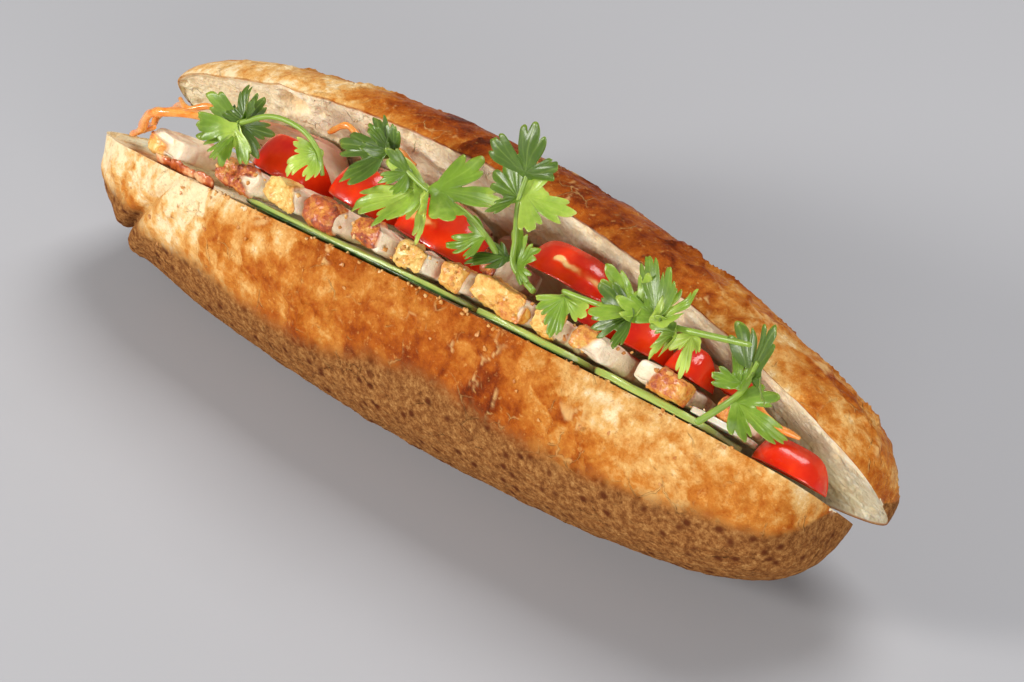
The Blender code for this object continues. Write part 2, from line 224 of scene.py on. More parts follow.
def even_path(corners, count, closed=False):
    """Points spread evenly by length along straight runs between corners."""
    corners = np.asarray(corners, float)
    if closed:
        corners = np.vstack((corners, corners[:1]))
    lengths = np.concatenate(([0], np.cumsum(np.linalg.norm(np.diff(corners, axis=0), axis=1))))
    where = np.linspace(0, lengths[-1], count, endpoint=not closed)
    return np.stack([np.interp(where, lengths, corners[:, k])
                     for k in range(corners.shape[1])], axis=-1)


def smooth_route(points, count):
    """A smooth curve through points (Catmull-Rom), as count points spread by parameter."""
    knots = np.asarray(points, float)
    knots = np.vstack((2 * knots[0] - knots[1], knots, 2 * knots[-1] - knots[-2]))
    where = np.linspace(0, len(points) - 1 - 1e-9, count)
    index = where.astype(int)
    t = (where - index)[:, None]
    before, start, end, after = (knots[index + k] for k in range(4))
    return (start * 2 + (end - before) * t + (before * 2 - start * 5 + end * 4 - after) * t ** 2
            + (start * 3 - before - end * 3 + after) * t ** 3) / 2


def tube_rings(route, radii, around):
    """Rings round a route: circles of the given radii, square to its direction."""
    direction = np.gradient(route, axis=0)
    direction /= np.linalg.norm(direction, axis=1, keepdims=True)
    side = np.cross(direction, np.array([0.12, 0.35, 0.93]))
    side /= np.linalg.norm(side, axis=1, keepdims=True)
    other = np.cross(direction, side)
    angle = np.linspace(0, 2 * math.pi, around, endpoint=False)
    return (route[:, None] + radii[:, None, None]
            * (np.cos(angle)[None, :, None] * side[:, None]
               + np.sin(angle)[None, :, None] * other[:, None]))


# ---------------------------------------------------------------- the opening


def cut_face_angle(half, x):
    """Direction of a half's cut face at x, in radians from +Y, seen along X."""
    along = (x - half["shift"]) / HALF_LENGTH
    turned = half["twist"] * along + half["bow"] * along ** 2
    return np.radians(LEAN + half["sign"] * GAPE / 2 + turned)


def beside_face(half, x, outward, off):
    """Points at a distance off a cut face, outward from the hinge, as an xyz array."""
    angle = cut_face_angle(half, x)
    into = angle - half["sign"] * math.pi / 2
    y = HINGE_BACK + outward * np.cos(angle) + off * np.cos(into)
    z = HINGE_HIGH + outward * np.sin(angle) + off * np.sin(into)
    return np.stack(np.broadcast_arrays(x, y, z), axis=-1)


def face_axes(half, x):
    """Unit vectors at x on a cut face: along X, away from the face, and outward."""
    angle = cut_face_angle(half, x)
    into = angle - half["sign"] * math.pi / 2
    return np.array([[1, 0, 0], [0, math.cos(into), math.sin(into)],
                     [0, math.cos(angle), math.sin(angle)]])


def share_of_section(half, along):
    """Share of its full section that a half has at along, from -1 to 1."""
    taper = np.where(along < 0, half["taper"][0], half["taper"][1])
    return np.clip(1 - np.abs(along) ** taper, 0, 1) ** (1 / half["fullness"])


def lip(half, x):
    """Distance from the hinge to the smooth line of a cut face's lip at x."""
    return HINGE_TO_MIDDLE + HALF_HEIGHT * share_of_section(half, (x - half["shift"]) / HALF_LENGTH)


def filling_point(points):
    """World places of (along, across, up) places in the filling."""
    points = np.asarray(points, float)
    lean = math.radians(LEAN)
    up = np.array([0, math.cos(lean), math.sin(lean)])
    across = np.array([0, math.sin(lean), -math.cos(lean)])
    along = np.array([1.0, 0, 0])
    hinge = np.array([0, HINGE_BACK, HINGE_HIGH])
    return (hinge + points[..., :1] * along + points[..., 1:2] * across
            + points[..., 2:3] * up)


def turn_matrix(degrees):
    """Rotation about X, then Y, then Z, by angles in degrees."""
    a, b, c = np.radians(degrees)
    about_x = np.array([[1, 0, 0], [0, math.cos(a), -math.sin(a)], [0, math.sin(a), math.cos(a)]])
    about_y = np.array([[math.cos(b), 0, math.sin(b)], [0, 1, 0], [-math.sin(b), 0, math.cos(b)]])
    about_z = np.array([[math.cos(c), -math.sin(c), 0], [math.sin(c), math.cos(c), 0], [0, 0, 1]])
    return about_z @ about_y @ about_x


def stand_by_face(local, half, place, turn):
    """World points of a piece's local ones: turned, then set off a cut face."""
    x, outward, off = place
    centre = beside_face(half, np.float64(x), np.float64(outward), np.float64(off))
    return centre + local @ turn_matrix(turn).T @ face_axes(half, x)


# ---------------------------------------------------------------- materials


def colour(red, green, blue):
    """A screen colour of 0 to 255 as the linear one that a shader takes."""
    screen = np.array([red, green, blue]) / 255
    linear = np.where(screen <= 0.04045, screen / 12.92, ((screen + 0.055) / 1.055) ** 2.4)
    return (*linear.tolist(), 1.0)


class Finish:
    """A material's node tree, with a short call for each kind of node."""

    def __init__(self, name, **sockets):
        self.material = bpy.data.materials.new(name)
        self.material.use_nodes = True
        self.tree = self.material.node_tree
        self.shader = self.tree.nodes["Principled BSDF"]
        for socket, value in sockets.items():
            self.shader.inputs[socket.replace("_", " ")].default_value = value
        self.place = self.node("ShaderNodeTexCoord").outputs["Object"]

    def node(self, kind, inputs=None, **settings):
        """A node with its settings, and its inputs linked or given a value."""
        made = self.tree.nodes.new(kind)
        for setting, value in settings.items():
            setattr(made, setting, value)
        for socket, value in (inputs or {}).items():
            if isinstance(value, bpy.types.NodeSocket):
                self.tree.links.new(value, made.inputs[socket])
            else:
                made.inputs[socket].default_value = value
        return made

    def mask(self, name):
        """The piece's own value of that name."""
        return self.node("ShaderNodeAttribute", attribute_name=name).outputs["Fac"]

    def noise(self, size, detail=4.0, roughness=0.55, distortion=0.0, place=None):
        """Noise whose features are about size millimetres wide."""
        made = self.node("ShaderNodeTexNoise", {
            "Vector": place or self.place, "Scale": 1000 / size, "Detail": detail,
            "Roughness": roughness, "Distortion": distortion})
        return made.outputs["Fac"]

    def cells(self, size, feature="F1", place=None):
        """Distance to the nearest of points about size millimetres apart, or to the
        border between two of them."""
        made = self.node("ShaderNodeTexVoronoi", {
            "Vector": place or self.place, "Scale": 1000 / size}, feature=feature)
        return made.outputs["Distance"]

    def bent_place(self, size, reach):
        """Places moved by up to reach millimetres by a noise of that size."""
        sway = self.node("ShaderNodeTexNoise", {"Vector": self.place, "Scale": 1000 / size,
                                                "Detail": 3.0}).outputs["Color"]
        sway = self.node("ShaderNodeVectorMath", {0: sway, 1: (0.5, 0.5, 0.5)},
                         operation="SUBTRACT").outputs[0]
        sway = self.node("ShaderNodeVectorMath", {0: sway, "Scale": reach * MM},
                         operation="SCALE").outputs[0]
        return self.node("ShaderNodeVectorMath", {0: self.place, 1: sway}).outputs[0]

    def between(self, value, low, high):
        """0 below low, 1 above high, smooth between; high may be the lower one."""
        made = self.node("ShaderNodeMapRange", {
            "Value": value, "From Min": low, "From Max": high}, interpolation_type="SMOOTHSTEP")
        return made.outputs["Result"]

    def math(self, operation, first, second):
        """One sum on two values."""
        return self.node("ShaderNodeMath", {0: first, 1: second},
                         operation=operation).outputs[0]

    def mix(self, share, first, second):
        """A colour share of the way from the first to the second."""
        made = self.node("ShaderNodeMix", {0: share, 6: first, 7: second},
                         data_type="RGBA")
        return made.outputs[2]

    def ramp(self, value, *stops):
        """A colour read off stops of (position, colour)."""
        made = self.node("ShaderNodeValToRGB", {"Fac": value})
        elements = made.color_ramp.elements
        while len(elements) < len(stops):
            elements.new(0.5)
        for element, (position, shade) in zip(elements, stops):
            element.position = position
            element.color = shade
        return made.outputs["Color"]

    def bump(self, height, depth, normal=None):
        """A normal tilted by a height of 0 to 1 that stands for depth millimetres."""
        inputs = {"Height": height, "Strength": 1.0, "Distance": depth * MM}
        if normal is not None:
            inputs["Normal"] = normal
        return self.node("ShaderNodeBump", inputs).outputs["Normal"]

    def shade(self, **links):
        """Link sockets of the shader, and give the material back."""
        for socket, source in links.items():
            self.tree.links.new(source, self.shader.inputs[socket.replace("_", " ")])
        return self.material


def bread_material():
    """Crust from pale to deep golden brown, matte and pitted below, and off-white crumb with
    painted shade in its deep holes.
    """
    look = Finish("bread", Subsurface_Scale=2.0 * MM, Specular_IOR_Level=0.05)
    look.shader.inputs["Subsurface Radius"].default_value = (1.0, 0.6, 0.3)
    bent = look.bent_place(6.0, 5.0)
    patches = look.math("MULTIPLY", look.math("SUBTRACT", look.noise(3.0, 7.0, 0.72), 0.5), 0.95)
    bake = look.math("ADD", look.mask("bake"), patches)
    crust = look.ramp(bake,
                      (0.0, colour(244, 222, 178)), (0.2, colour(224, 174, 104)),
                      (0.4, colour(198, 124, 48)), (0.6, colour(170, 86, 22)),
                      (0.8, colour(132, 54, 12)), (1.0, colour(84, 32, 10)))
    speckle = look.between(look.noise(1.1, 3.0, 0.7), 0.56, 0.70)
    crust = look.mix(look.math("MULTIPLY", speckle, 0.4), crust, colour(156, 74, 20))
    blister = look.between(look.noise(1.7, 4.0, 0.7), 0.42, 0.30)
    crust = look.mix(look.math("MULTIPLY", blister, 0.35), crust, colour(238, 184, 104))
    lines = look.between(look.cells(8.0, "DISTANCE_TO_EDGE", bent), 0.04, 0.0)
    some = look.between(look.noise(9.0, 3.0), 0.52, 0.64)
    thin = look.math("MULTIPLY", lines, some)
    crust = look.mix(look.math("MULTIPLY", thin, 0.4), crust, colour(238, 190, 120))
    below = look.ramp(look.noise(1.5, 6.0, 0.8), (0.3, colour(84, 46, 22)),
                      (0.46, colour(130, 80, 40)), (0.6, colour(168, 118, 66)),
                      (0.75, colour(204, 158, 102)))
    below = look.mix(look.between(look.cells(4.4), 0.36, 0.10), below, colour(92, 46, 22))
    crust = look.mix(look.mask("underside"), crust, below)
    crust = look.mix(look.math("MULTIPLY", look.mask("crack"), 0.7), crust, colour(232, 188, 122))
    crumb = look.ramp(look.noise(3.5, 6.0, 0.7), (0.3, colour(244, 222, 178)),
                      (0.5, colour(253, 240, 204)), (0.7, colour(254, 249, 226)))
    # the crumb's deep holes are painted darker: painted shade
    crumb = look.mix(look.math("MULTIPLY", look.mask("pore"), 0.6), crumb, colour(232, 196, 140))
    base = look.mix(look.mask("crumb"), crust, crumb)
    shine = look.ramp(look.noise(5.0, 5.0, 0.7), (0.35, (0.28, 0.28, 0.28, 1)),
                      (0.65, (0.5, 0.5, 0.5, 1)))
    matte = look.mix(look.mask("underside"), shine, (0.8, 0.8, 0.8, 1))
    matte = look.mix(look.mask("crumb"), matte, (0.9, 0.9, 0.9, 1))
    grain = look.bump(look.noise(0.9, 4.0, 0.7), 0.26)
    folds = look.bump(look.noise(3.4, 6.0, 0.66, 0.4, bent), 0.85, grain)
    ridges = look.bump(thin, 0.35, folds)
    openness = look.math("MULTIPLY", look.math("ADD", look.mask("crumb"),
                                               look.mask("underside")), look.cells(1.2))
    pores = look.bump(openness, 0.2, ridges)
    return look.shade(Base_Color=base, Roughness=matte, Normal=pores,
                      Subsurface_Weight=look.math("MULTIPLY", look.mask("crumb"), 0.12))


# ---------------------------------------------------------------- bread

# The crease that parts the heel from the rest of the front half (mm)
CREASE_AT_LIP = -79.0
CREASE_SLANT = -36.0
CREASE_DEPTH = 4.2
CRUST_THICKNESS = 1.0
# How far the lip strays from its smooth line (mm)
LIP_WAVER = 1.3


def bread_stations(half):
    """Places along a half from -1 to 1 and its share of section at each.

    Near a tip they step evenly in share of section, and between the tips evenly in X.
    """
    share_steps = np.linspace(0.05, TIP_SHARE, TIP_STATIONS)
    tips = []
    for taper in half["taper"]:
        tips.append((1 - share_steps ** half["fullness"]) ** (1 / taper))
    middle = np.linspace(-tips[0][-1], tips[1][-1], STATIONS_ALONG + 2)[1:-1]
    along = np.concatenate((-tips[0], middle, tips[1][::-1]))
    return along, share_of_section(half, along)


def crust_relief(half, base, x, theta, share):
    """Height of the crust over its smooth form, its masks, and each scale's own value.

    Broad waves, then scales of skin with raised borders and different levels, in two
    sizes, then raised wrinkles here and there, and on the front half the crease and the
    pits below. Wrinkles run where a noise is near 0.
    """
    front = half["sign"] > 0
    seed = 10 if front else 60
    warp = np.stack([layered_noise(base, 16, seed + k, 4) for k in range(3)], axis=-1)
    stretch = np.array([1.25, 1.0, 1.0])
    nearest, second, value = cell_distances((base + 7 * warp) * stretch, 13.0, seed + 8)
    gap = second - nearest
    border = np.exp(-(gap / 0.09) ** 2)
    present = step_up(layered_noise(base, 15, seed + 12, 2), -0.12, 0.2)
    small_near, small_second, small_value = cell_distances(
        (base + 4 * warp) * stretch, 5.2, seed + 16)
    small_gap = small_second - small_near
    small_border = np.exp(-(small_gap / 0.13) ** 2)
    small_present = step_up(layered_noise(base, 11, seed + 19, 2), -0.1, 0.3)
    height = 1.1 * layered_noise(base, 24, seed + 4, 3)
    height += 0.9 * border * present + 1.0 * (value - 0.5) * step_up(gap, 0, 0.10)
    height += 0.34 * small_border * small_present
    height += 0.45 * (small_value - 0.5) * step_up(small_gap, 0, 0.15) * small_present
    height += 0.22 * layered_noise(base + 2 * warp, 3.2, seed + 22, 2)
    wrinkled = step_up(layered_noise(base, 18, seed + 40, 2), 0.0, 0.3)
    fold = np.abs(layered_noise((base + 4 * warp) * [1.7, 0.8, 0.8], 9, seed + 43, 3))
    height += 1.3 * np.clip(1 - fold / 0.14, 0, 1) * wrinkled
    broken = step_up(layered_noise(base, 7, seed + 20, 2), 0.12, 0.34)
    crack = step_up(border * present, 0.7, 1.0) * broken
    crack += 0.7 * step_up(small_border * small_present, 0.75, 1.0) * broken
    if front:
        low_edge = 0.66 + 0.06 * dome(x, -30, 22) - 0.12 * dome(x, 25, 35)
        low_edge = low_edge - 0.12 * step_up(-x, 45, 80)
        low_edge = low_edge + 0.13 * layered_noise(base, 16, seed + 24, 4)
        underside = step_up(theta, low_edge - 0.08, low_edge + 0.14)
        pit, _, _ = cell_distances(base, 3.4, seed + 28)
        fine_pit, _, _ = cell_distances(base, 1.5, seed + 31)
        rough = -0.9 * np.clip(0.42 - pit, 0, 1) - 0.45 * np.clip(0.5 - fine_pit, 0, 1)
        rough += 0.2 * layered_noise(base, 2.2, seed + 35, 2)
        height = height * (1 - 0.8 * underside) + rough * underside
        crease_x = CREASE_AT_LIP + CREASE_SLANT * np.sin(theta * 0.75) + 3.5 * warp[..., 0]
        away = x - crease_x
        height = height - CREASE_DEPTH * np.exp(-(away / 2.2) ** 2)
        height += 1.5 * np.exp(-((away - 6) / 4.5) ** 2) - 1.4 * step_up(-away, 0, 4)
        height += 0.9 * np.exp(-((away + 6) / 4.0) ** 2)
        crack = crack * (1 - underside)
    else:
        underside = step_up(theta, 2.25, 2.5)
        height = height * 0.75
    height = height * np.sqrt(np.clip(np.sin(theta), 0, 1)) * step_up(share, 0.05, 0.5)
    tone = 0.20 * (value - 0.5) + 0.16 * (small_value - 0.5) * small_present
    tone = tone + 0.22 * np.clip(layered_noise(base + 3 * warp, 6, seed + 46, 4), -0.6, 0.6)
    tone = tone + 0.16 * dome(np.minimum(gap / 0.3, 2), 0.0, 0.5) * present
    return height, underside, np.clip(crack, 0, 1), tone


def front_bake(base, x, theta):
    """How dark the front half's crust is: pale at the left end, partly its own tone and partly
    painted light, deepest near mid-length, with a painted highlight on the lip near the left end.
    """
    bake = 0.34 + 0.20 * dome(x, 8, 50) + 0.14 * step_up(theta, 0.12, 0.5)
    # paler towards both ends; towards the left end partly the crust's own tone and partly painted
    # light from the key lamp on the left
    bake -= 0.36 * step_up(-x, 30, 82) + 0.10 * step_up(x, 45, 90)
    bake -= 0.10 * dome(x, 68, 22) * dome(theta, 0.1, 0.35)
    bake += 0.20 * dome(x, -99, 9) * dome(theta, 0.75, 0.5)
    # a pale patch on the lip near the left end: a painted highlight
    bake -= 0.25 * dome(x, -68, 9) * dome(theta, 0.1, 0.3)
    return bake + 0.20 * layered_noise(base, 15, 301, 3)


def back_bake(base, x, theta):
    """How dark the back half's crust is: deepest near mid-length, paler along the lip."""
    bake = 0.58 + 0.14 * dome(x, 10, 40) - 0.12 * dome(theta, 0.0, 0.12)
    bake -= 0.40 * step_up(-x, 25, 95) + 0.18 * step_up(x, 45, 95)
    return bake + 0.20 * layered_noise(base, 18, 351, 3)


def crumb_relief(base, inner, seed):
    """Depth of the crumb's holes below its cut face, and a mask of painted shade in the deep ones.

    Three sizes of cells, some of each sunk near their middles, and broad low hollows.
    """
    warp = np.stack([layered_noise(base, 5, seed + k, 2) for k in range(3)], axis=-1)
    large, _, large_value = cell_distances((base + 2.5 * warp) * [0.75, 1, 1], 10.0, seed + 4)
    middle, _, middle_value = cell_distances(base + 1.2 * warp, 4.6, seed + 8)
    small, _, small_value = cell_distances(base + 0.4 * warp, 2.1, seed + 12)
    holes = 2.2 * step_up(0.46 - large, 0, 0.26) * (large_value > 0.72)
    holes += 1.0 * step_up(0.42 - middle, 0, 0.24) * (middle_value > 0.5)
    holes += 0.45 * step_up(0.45 - small, 0, 0.3) * (small_value > 0.3)
    holes += 0.7 * (0.5 + 0.5 * layered_noise(base, 14, seed + 16, 4))
    return holes * inner, step_up(holes * inner, 0.5, 2.6)


def bread_half(name, half, material):
    """One half: half an ellipse across, shut by the flat cut face, along X.

    Each ring runs over the crust from lip to hinge side, by (cos, sin) of an angle
    that grows from 0 to pi, and back along the cut face to the lip. The ring's size
    follows the share of section, and the lip strays a little from its line. Relief then
    moves every point along its normal. Gives the points and the normals.
    """
    along, share = bread_stations(half)
    theta = math.pi * np.linspace(0, 1, POINTS_ROUND_CRUST) ** 1.25
    across = np.linspace(-1, 1, POINTS_ACROSS_FACE + 2)[1:-1]
    reach = np.concatenate((np.cos(theta), across))
    bulge = np.concatenate((np.sin(theta), np.zeros(POINTS_ACROSS_FACE)))
    on_face = np.concatenate((np.zeros(len(theta)), np.ones(POINTS_ACROSS_FACE)))
    angle = np.concatenate((theta, np.arccos(across)))[None] + np.zeros((len(along), 1))
    x = (along * HALF_LENGTH + half["shift"])[:, None] + np.zeros(len(reach))
    size = share[:, None]
    outward = HINGE_TO_MIDDLE + HALF_HEIGHT * size * reach
    along_lip = np.stack((x, x * 0, x * 0 + half["sign"] * 9), axis=-1)
    near_lip = step_up(reach, 0.86, 1.0) * step_up(size, 0.3, 0.6)
    outward = outward + LIP_WAVER * layered_noise(along_lip, 7, 490, 4) * near_lip
    base = beside_face(half, x, outward, -half["depth"] * size * bulge)
    core = beside_face(half, x, outward * 0 + HINGE_TO_MIDDLE, -half["depth"] * size * 0.4)
    normal = surface_normals(base, base - core)
    crust_height, underside, crack, tone = crust_relief(half, base, x, angle, share[:, None])
    edge_distance = HALF_HEIGHT * size * (1 - np.abs(reach))
    inner = step_up(edge_distance, 0.3, 3.0) * step_up(outward, 2.0, 12.0)
    # the second value masks the deep holes, which the crumb's colour darkens as painted shade
    hole_depth, pore = crumb_relief(base, inner, 401 if half["sign"] > 0 else 451)
    height = np.where(on_face > 0, -hole_depth, crust_height)
    bake = front_bake(base, x, angle) if half["sign"] > 0 else back_bake(base, x, angle)
    bake = bake + tone
    crumb = on_face * step_up(edge_distance + 0.35 * layered_noise(base, 4, 471, 2),
                              CRUST_THICKNESS * 0.5, CRUST_THICKNESS * 1.3)
    if half["sign"] > 0:
        crumb = crumb * (1 - 0.85 * step_up(-x, 66, 88) * (1 - step_up(edge_distance, 8, 14)))
    grid = base + normal * height[..., None]
    grid[..., 2] = np.maximum(grid[..., 2], 0.0)
    points, quads, fans = closed_rings(grid)
    values = dict(bake=bake, underside=underside * (1 - on_face), crack=crack * (1 - on_face),
                  crumb=crumb, pore=pore * on_face)
    values = {key: ring_values(np.clip(array, 0, 1)) for key, array in values.items()}
    add_piece(name, (points, quads, fans, values), material, ["bread_roll"], sharp=62)
    return grid, normal


bread = bread_material()
front_crust = bread_half("bread_front_half", FRONT, bread)
bread_half("bread_back_half", BACK, bread)

# ---------------------------------------------------------------- slabs and blocks


def rounded_block(size, corner, around, along):
    """A block with rounded edges, as rings from the middle of its bottom to that of its top.

    Across, a ring is a rectangle whose corners are rounded by a superellipse of power
    5. Going up, its share of the width and its height follow the half outline of a
    rounded rectangle. Gives the points and their places in the block from -1 to 1.
    """
    angle = np.linspace(0, 2 * math.pi, 720, endpoint=False)
    outline = np.stack((np.sign(np.cos(angle)) * np.abs(np.cos(angle)) ** 0.4,
                        np.sign(np.sin(angle)) * np.abs(np.sin(angle)) ** 0.4), axis=-1)
    outline = even_path(outline * [size[0], size[1]], around, closed=True) / [size[0], size[1]]
    half_width, half_height = min(size[0], size[1]) / 2, size[2] / 2
    turn = np.linspace(0, math.pi / 2, 7)
    low = np.stack((half_width - corner + corner * np.sin(turn),
                    -half_height + corner - corner * np.cos(turn)), axis=-1)
    profile = np.vstack(([[half_width * 0.04, -half_height]], low, low[::-1] * [1, -1],
                         [[half_width * 0.04, half_height]]))
    profile = even_path(profile, along) / [half_width, half_height]
    unit = np.stack(np.broadcast_arrays(profile[:, :1] * outline[None, :, 0],
                                        profile[:, :1] * outline[None, :, 1],
                                        profile[:, 1:2]), axis=-1)
    return unit * np.array(size) / 2, unit


def laid_slab(half, span, reach, off, thickness, seed, around, along, ripple=0.0):
    """A thin slice that follows a cut face: a rounded block bent onto it.

    The block's X runs along the span, its Z from the inner to the outer edge, and its
    Y is the thickness. Ripple is the height of its waves. Gives the rings, their places
    in the slice from -1 to 1, and how far out from the hinge they lie.
    """
    length = span[1] - span[0]
    _, unit = rounded_block((length, thickness, reach[0] - reach[1]), thickness * 0.45,
                            around, along)
    x = (span[0] + span[1]) / 2 + unit[..., 0] * length / 2
    ends = 1 - 0.4 * np.abs(unit[..., 0]) ** 6
    below = (reach[0] + reach[1]) / 2 - unit[..., 2] * ends * (reach[0] - reach[1]) / 2
    outward = lip(half, x) - below
    place = np.stack((x, outward, x * 0 + seed), axis=-1)
    wave = ripple * (1 + np.sin(x / 7) * np.cos(outward / 9))
    wave += 0.12 * smooth_noise(place, 5, seed)
    away = off + thickness / 2 + unit[..., 1] * thickness / 2 + wave
    return beside_face(half, x, outward, away), unit, outward


# ---------------------------------------------------------------- cucumber, ham and onion

# each slice: from where to where along X, how far below the lip its inner and its outer
# edge lie, and its distance off the cut face (mm)
CUCUMBERS = [((-58, 20), (26, -0.5), 0.4),
             ((21.5, 55), (26, -0.8), 0.4),
             ((57, 90), (24, -0.8), 0.4)]
CUCUMBER_THICKNESS = 1.8
# number: from where to where across its thickness (mm) the skin sets in; others show none
SKIN_ACROSS = {1: (-0.05, 0.25), 2: (0.35, 0.6)}
HAM = [((-94, -52), (36, 15), 0.6),
       ((-50, -2), (42, 18.5), 0.6),
       ((0, 44), (42, 20), 0.6),
       ((46, 90), (38, 16), 0.6)]
HAM_THICKNESS = 1.4
HAM_RIPPLE = 0.6
ONION = ((84, 96.5), (14, -1.5), 2.7)
ONION_THICKNESS = 1.5


def cucumber_material():
    """Wet, pale green flesh, darker towards a thin dark green skin."""
    look = Finish("cucumber", Roughness=0.22, Subsurface_Weight=0.35, Subsurface_Scale=2.0 * MM,
                  Coat_Weight=0.1, Coat_Roughness=0.2)
    flesh = look.ramp(look.noise(4.0, 4.0), (0.35, colour(206, 212, 146)),
                      (0.65, colour(230, 232, 184)))
    rim = look.mix(look.mask("rim"), flesh, colour(166, 184, 92))
    base = look.mix(look.mask("skin"), rim, look.ramp(
        look.noise(3.0, 4.0), (0.4, colour(30, 54, 16)), (0.65, colour(66, 94, 32))))
    return look.shade(Base_Color=base, Normal=look.bump(look.noise(1.5, 3.0), 0.15))


def build_cucumber():
    """Long slices against the front half, skin edge up."""
    finish = cucumber_material()
    for number, (span, reach, off) in enumerate(CUCUMBERS, 1):
        rings, unit, _ = laid_slab(FRONT, span, reach, off, CUCUMBER_THICKNESS, seed=500 + number,
                                   around=360, along=64)
        points, quads, fans = closed_rings(rings)
        inner = unit[..., 1] * CUCUMBER_THICKNESS / 2
        height = unit[..., 2]
        skin = height * 0
        if number in SKIN_ACROSS:
            skin = step_up(height, 0.90, 0.94) * step_up(-inner, *SKIN_ACROSS[number])
        rim = step_up(height, 0.80, 0.98)
        values = dict(skin=ring_values(skin), rim=ring_values(rim))
        add_piece(f"cucumber_{number}", (points, quads, fans, values), finish,
                  [f"cucumber_slice_{number}"])


def ham_material():
    """Moist pink-beige meat with darker specks and a browner edge."""
    look = Finish("ham", Roughness=0.42, Subsurface_Weight=0.3, Subsurface_Scale=2.5 * MM)
    base = look.ramp(look.noise(6.0, 5.0, 0.65), (0.3, colour(222, 170, 142)),
                     (0.5, colour(240, 208, 184)), (0.7, colour(248, 228, 208)))
    specks = look.between(look.cells(4.5), 0.14, 0.06)
    base = look.mix(specks, base, colour(130, 66, 36))
    base = look.mix(look.mask("edge"), base, colour(196, 116, 72))
    return look.shade(Base_Color=base, Normal=look.bump(look.noise(1.8, 4.0), 0.3))


def build_ham():
    """Thin slices against the back half, rippled."""
    finish = ham_material()
    for number, (span, reach, off) in enumerate(HAM, 1):
        rings, unit, _ = laid_slab(BACK, span, reach, off, HAM_THICKNESS, ripple=HAM_RIPPLE,
                                   seed=520 + number, around=300, along=60)
        points, quads, fans = closed_rings(rings)
        edge = step_up(unit[..., 2], 0.93, 1.0) * 0.7
        values = dict(edge=ring_values(edge))
        add_piece(f"ham_{number}", (points, quads, fans, values), finish,
                  [f"ham_slice_{number}"])


def build_onion():
    """A thin slice of onion against the front half, striped along its layers."""
    look = Finish("onion", Roughness=0.18, Subsurface_Weight=0.5, Subsurface_Scale=3.0 * MM,
                  Transmission_Weight=0.25, IOR=1.36, Coat_Weight=0.4, Coat_Roughness=0.1)
    base = look.ramp(look.mask("layer"), (0.2, colour(226, 214, 186)),
                     (0.8, colour(246, 240, 224)))
    finish = look.shade(Base_Color=base, Normal=look.bump(look.noise(1.2, 2.0), 0.08))
    rings, unit, outward = laid_slab(FRONT, *ONION, ONION_THICKNESS, seed=540, around=220,
                                     along=60)
    layer = 0.5 + 0.5 * np.sin(outward * 2.6 + unit[..., 0] * 2.0)
    points, quads, fans = closed_rings(rings)
    add_piece("onion_1", (points, quads, fans, dict(layer=ring_values(layer))), finish,
              ["onion_slice_1"])


# ---------------------------------------------------------------- roast pork

# place: along X, height of its top over the lip, distance off the front cut face;
# size: along X, thickness, height; turn in degrees; roast: how dark its crackling is;
# cover: how much of it the crackling covers, from the left, or from the right if below 0
PORK = [((-86, 1.0, 5.6), (14, 6.5, 24), (2, -8, 3), 0.3, 0.15),
        ((-57, 1.5, 6.0), (15, 6.5, 25), (2, -12, 3), 0.75, 0.7),
        ((-39.5, 2.5, 6.3), (12, 6.3, 25), (0, -14, -2), 0.12, 0.7),
        ((-24.5, 3.5, 6.0), (11, 6.5, 26), (0, -18, 2), 0.8, 1.0),
        ((-8.5, 2.5, 6.1), (11.5, 6.2, 25), (0, -18, -2), 0.75, 0.6),
        ((6.0, 3.0, 5.8), (11, 6.4, 26), (0, -18, 2), 0.12, 0.6),
        ((17.2, 2.0, 5.8), (7.5, 6.4, 25), (0, -14, 2), 0.4, 0.8),
        ((30.5, 3.0, 6.1), (16, 6.4, 25), (0, -6, 0), 0.38, 1.0),
        ((44.5, 2.0, 5.8), (7.5, 6.4, 25), (0, -6, 2), 0.25, 0.7),
        ((58.8, 5.0, 5.8), (10, 6.2, 27), (0, -4, -2), 0.45, 0.2),
        ((75.2, 3.0, 5.6), (14.5, 5.8, 24), (0, 6, 1), 0.6, -0.3),
        ((92.2, 1.5, 7.2), (6.5, 5.0, 18), (0, 4, 2), 0.85, 1.0),
        ((20.6, -2.0, 12.8), (6.0, 6.0, 18), (0, -4, 0), 0.9, 0.5)]
RIND_DEPTH = 2.6
PORK_CORNER = 0.8
PORK_POINTS = (156, 112)


def pork_material():
    """Pale fat and pinker lean under golden, bubbly crackling with darker roasted spots."""
    look = Finish("roast_pork", Subsurface_Scale=2.5 * MM, Coat_Roughness=0.25)
    fat = look.ramp(look.noise(3.0, 5.0, 0.6), (0.3, colour(234, 208, 174)),
                    (0.55, colour(250, 234, 206)), (0.75, colour(254, 246, 230)))
    lean = look.ramp(look.noise(2.2, 5.0, 0.7), (0.35, colour(202, 142, 112)),
                     (0.65, colour(232, 186, 160)))
    meat = look.mix(look.mask("lean"), fat, lean)
    spots = look.math("MULTIPLY", look.math("SUBTRACT", look.noise(1.5, 5.0, 0.74), 0.5), 1.5)
    crackling = look.ramp(look.math("ADD", look.mask("roast"), spots),
                          (0.0, colour(240, 204, 118)), (0.25, colour(230, 170, 74)),
                          (0.5, colour(214, 132, 46)), (0.75, colour(184, 78, 26)),
                          (1.0, colour(108, 44, 18)))
    base = look.mix(look.mask("rind"), meat, crackling)
    fine = look.bump(look.noise(0.8, 4.0, 0.7), 0.45)
    look.shader.inputs["Roughness"].default_value = 0.38
    return look.shade(Base_Color=base, Normal=fine,
                      Subsurface_Weight=look.math("MULTIPLY", look.math(
                          "SUBTRACT", 1.0, look.mask("rind")), 0.12),
                      Coat_Weight=look.math("MULTIPLY", look.mask("rind"), 0.3))


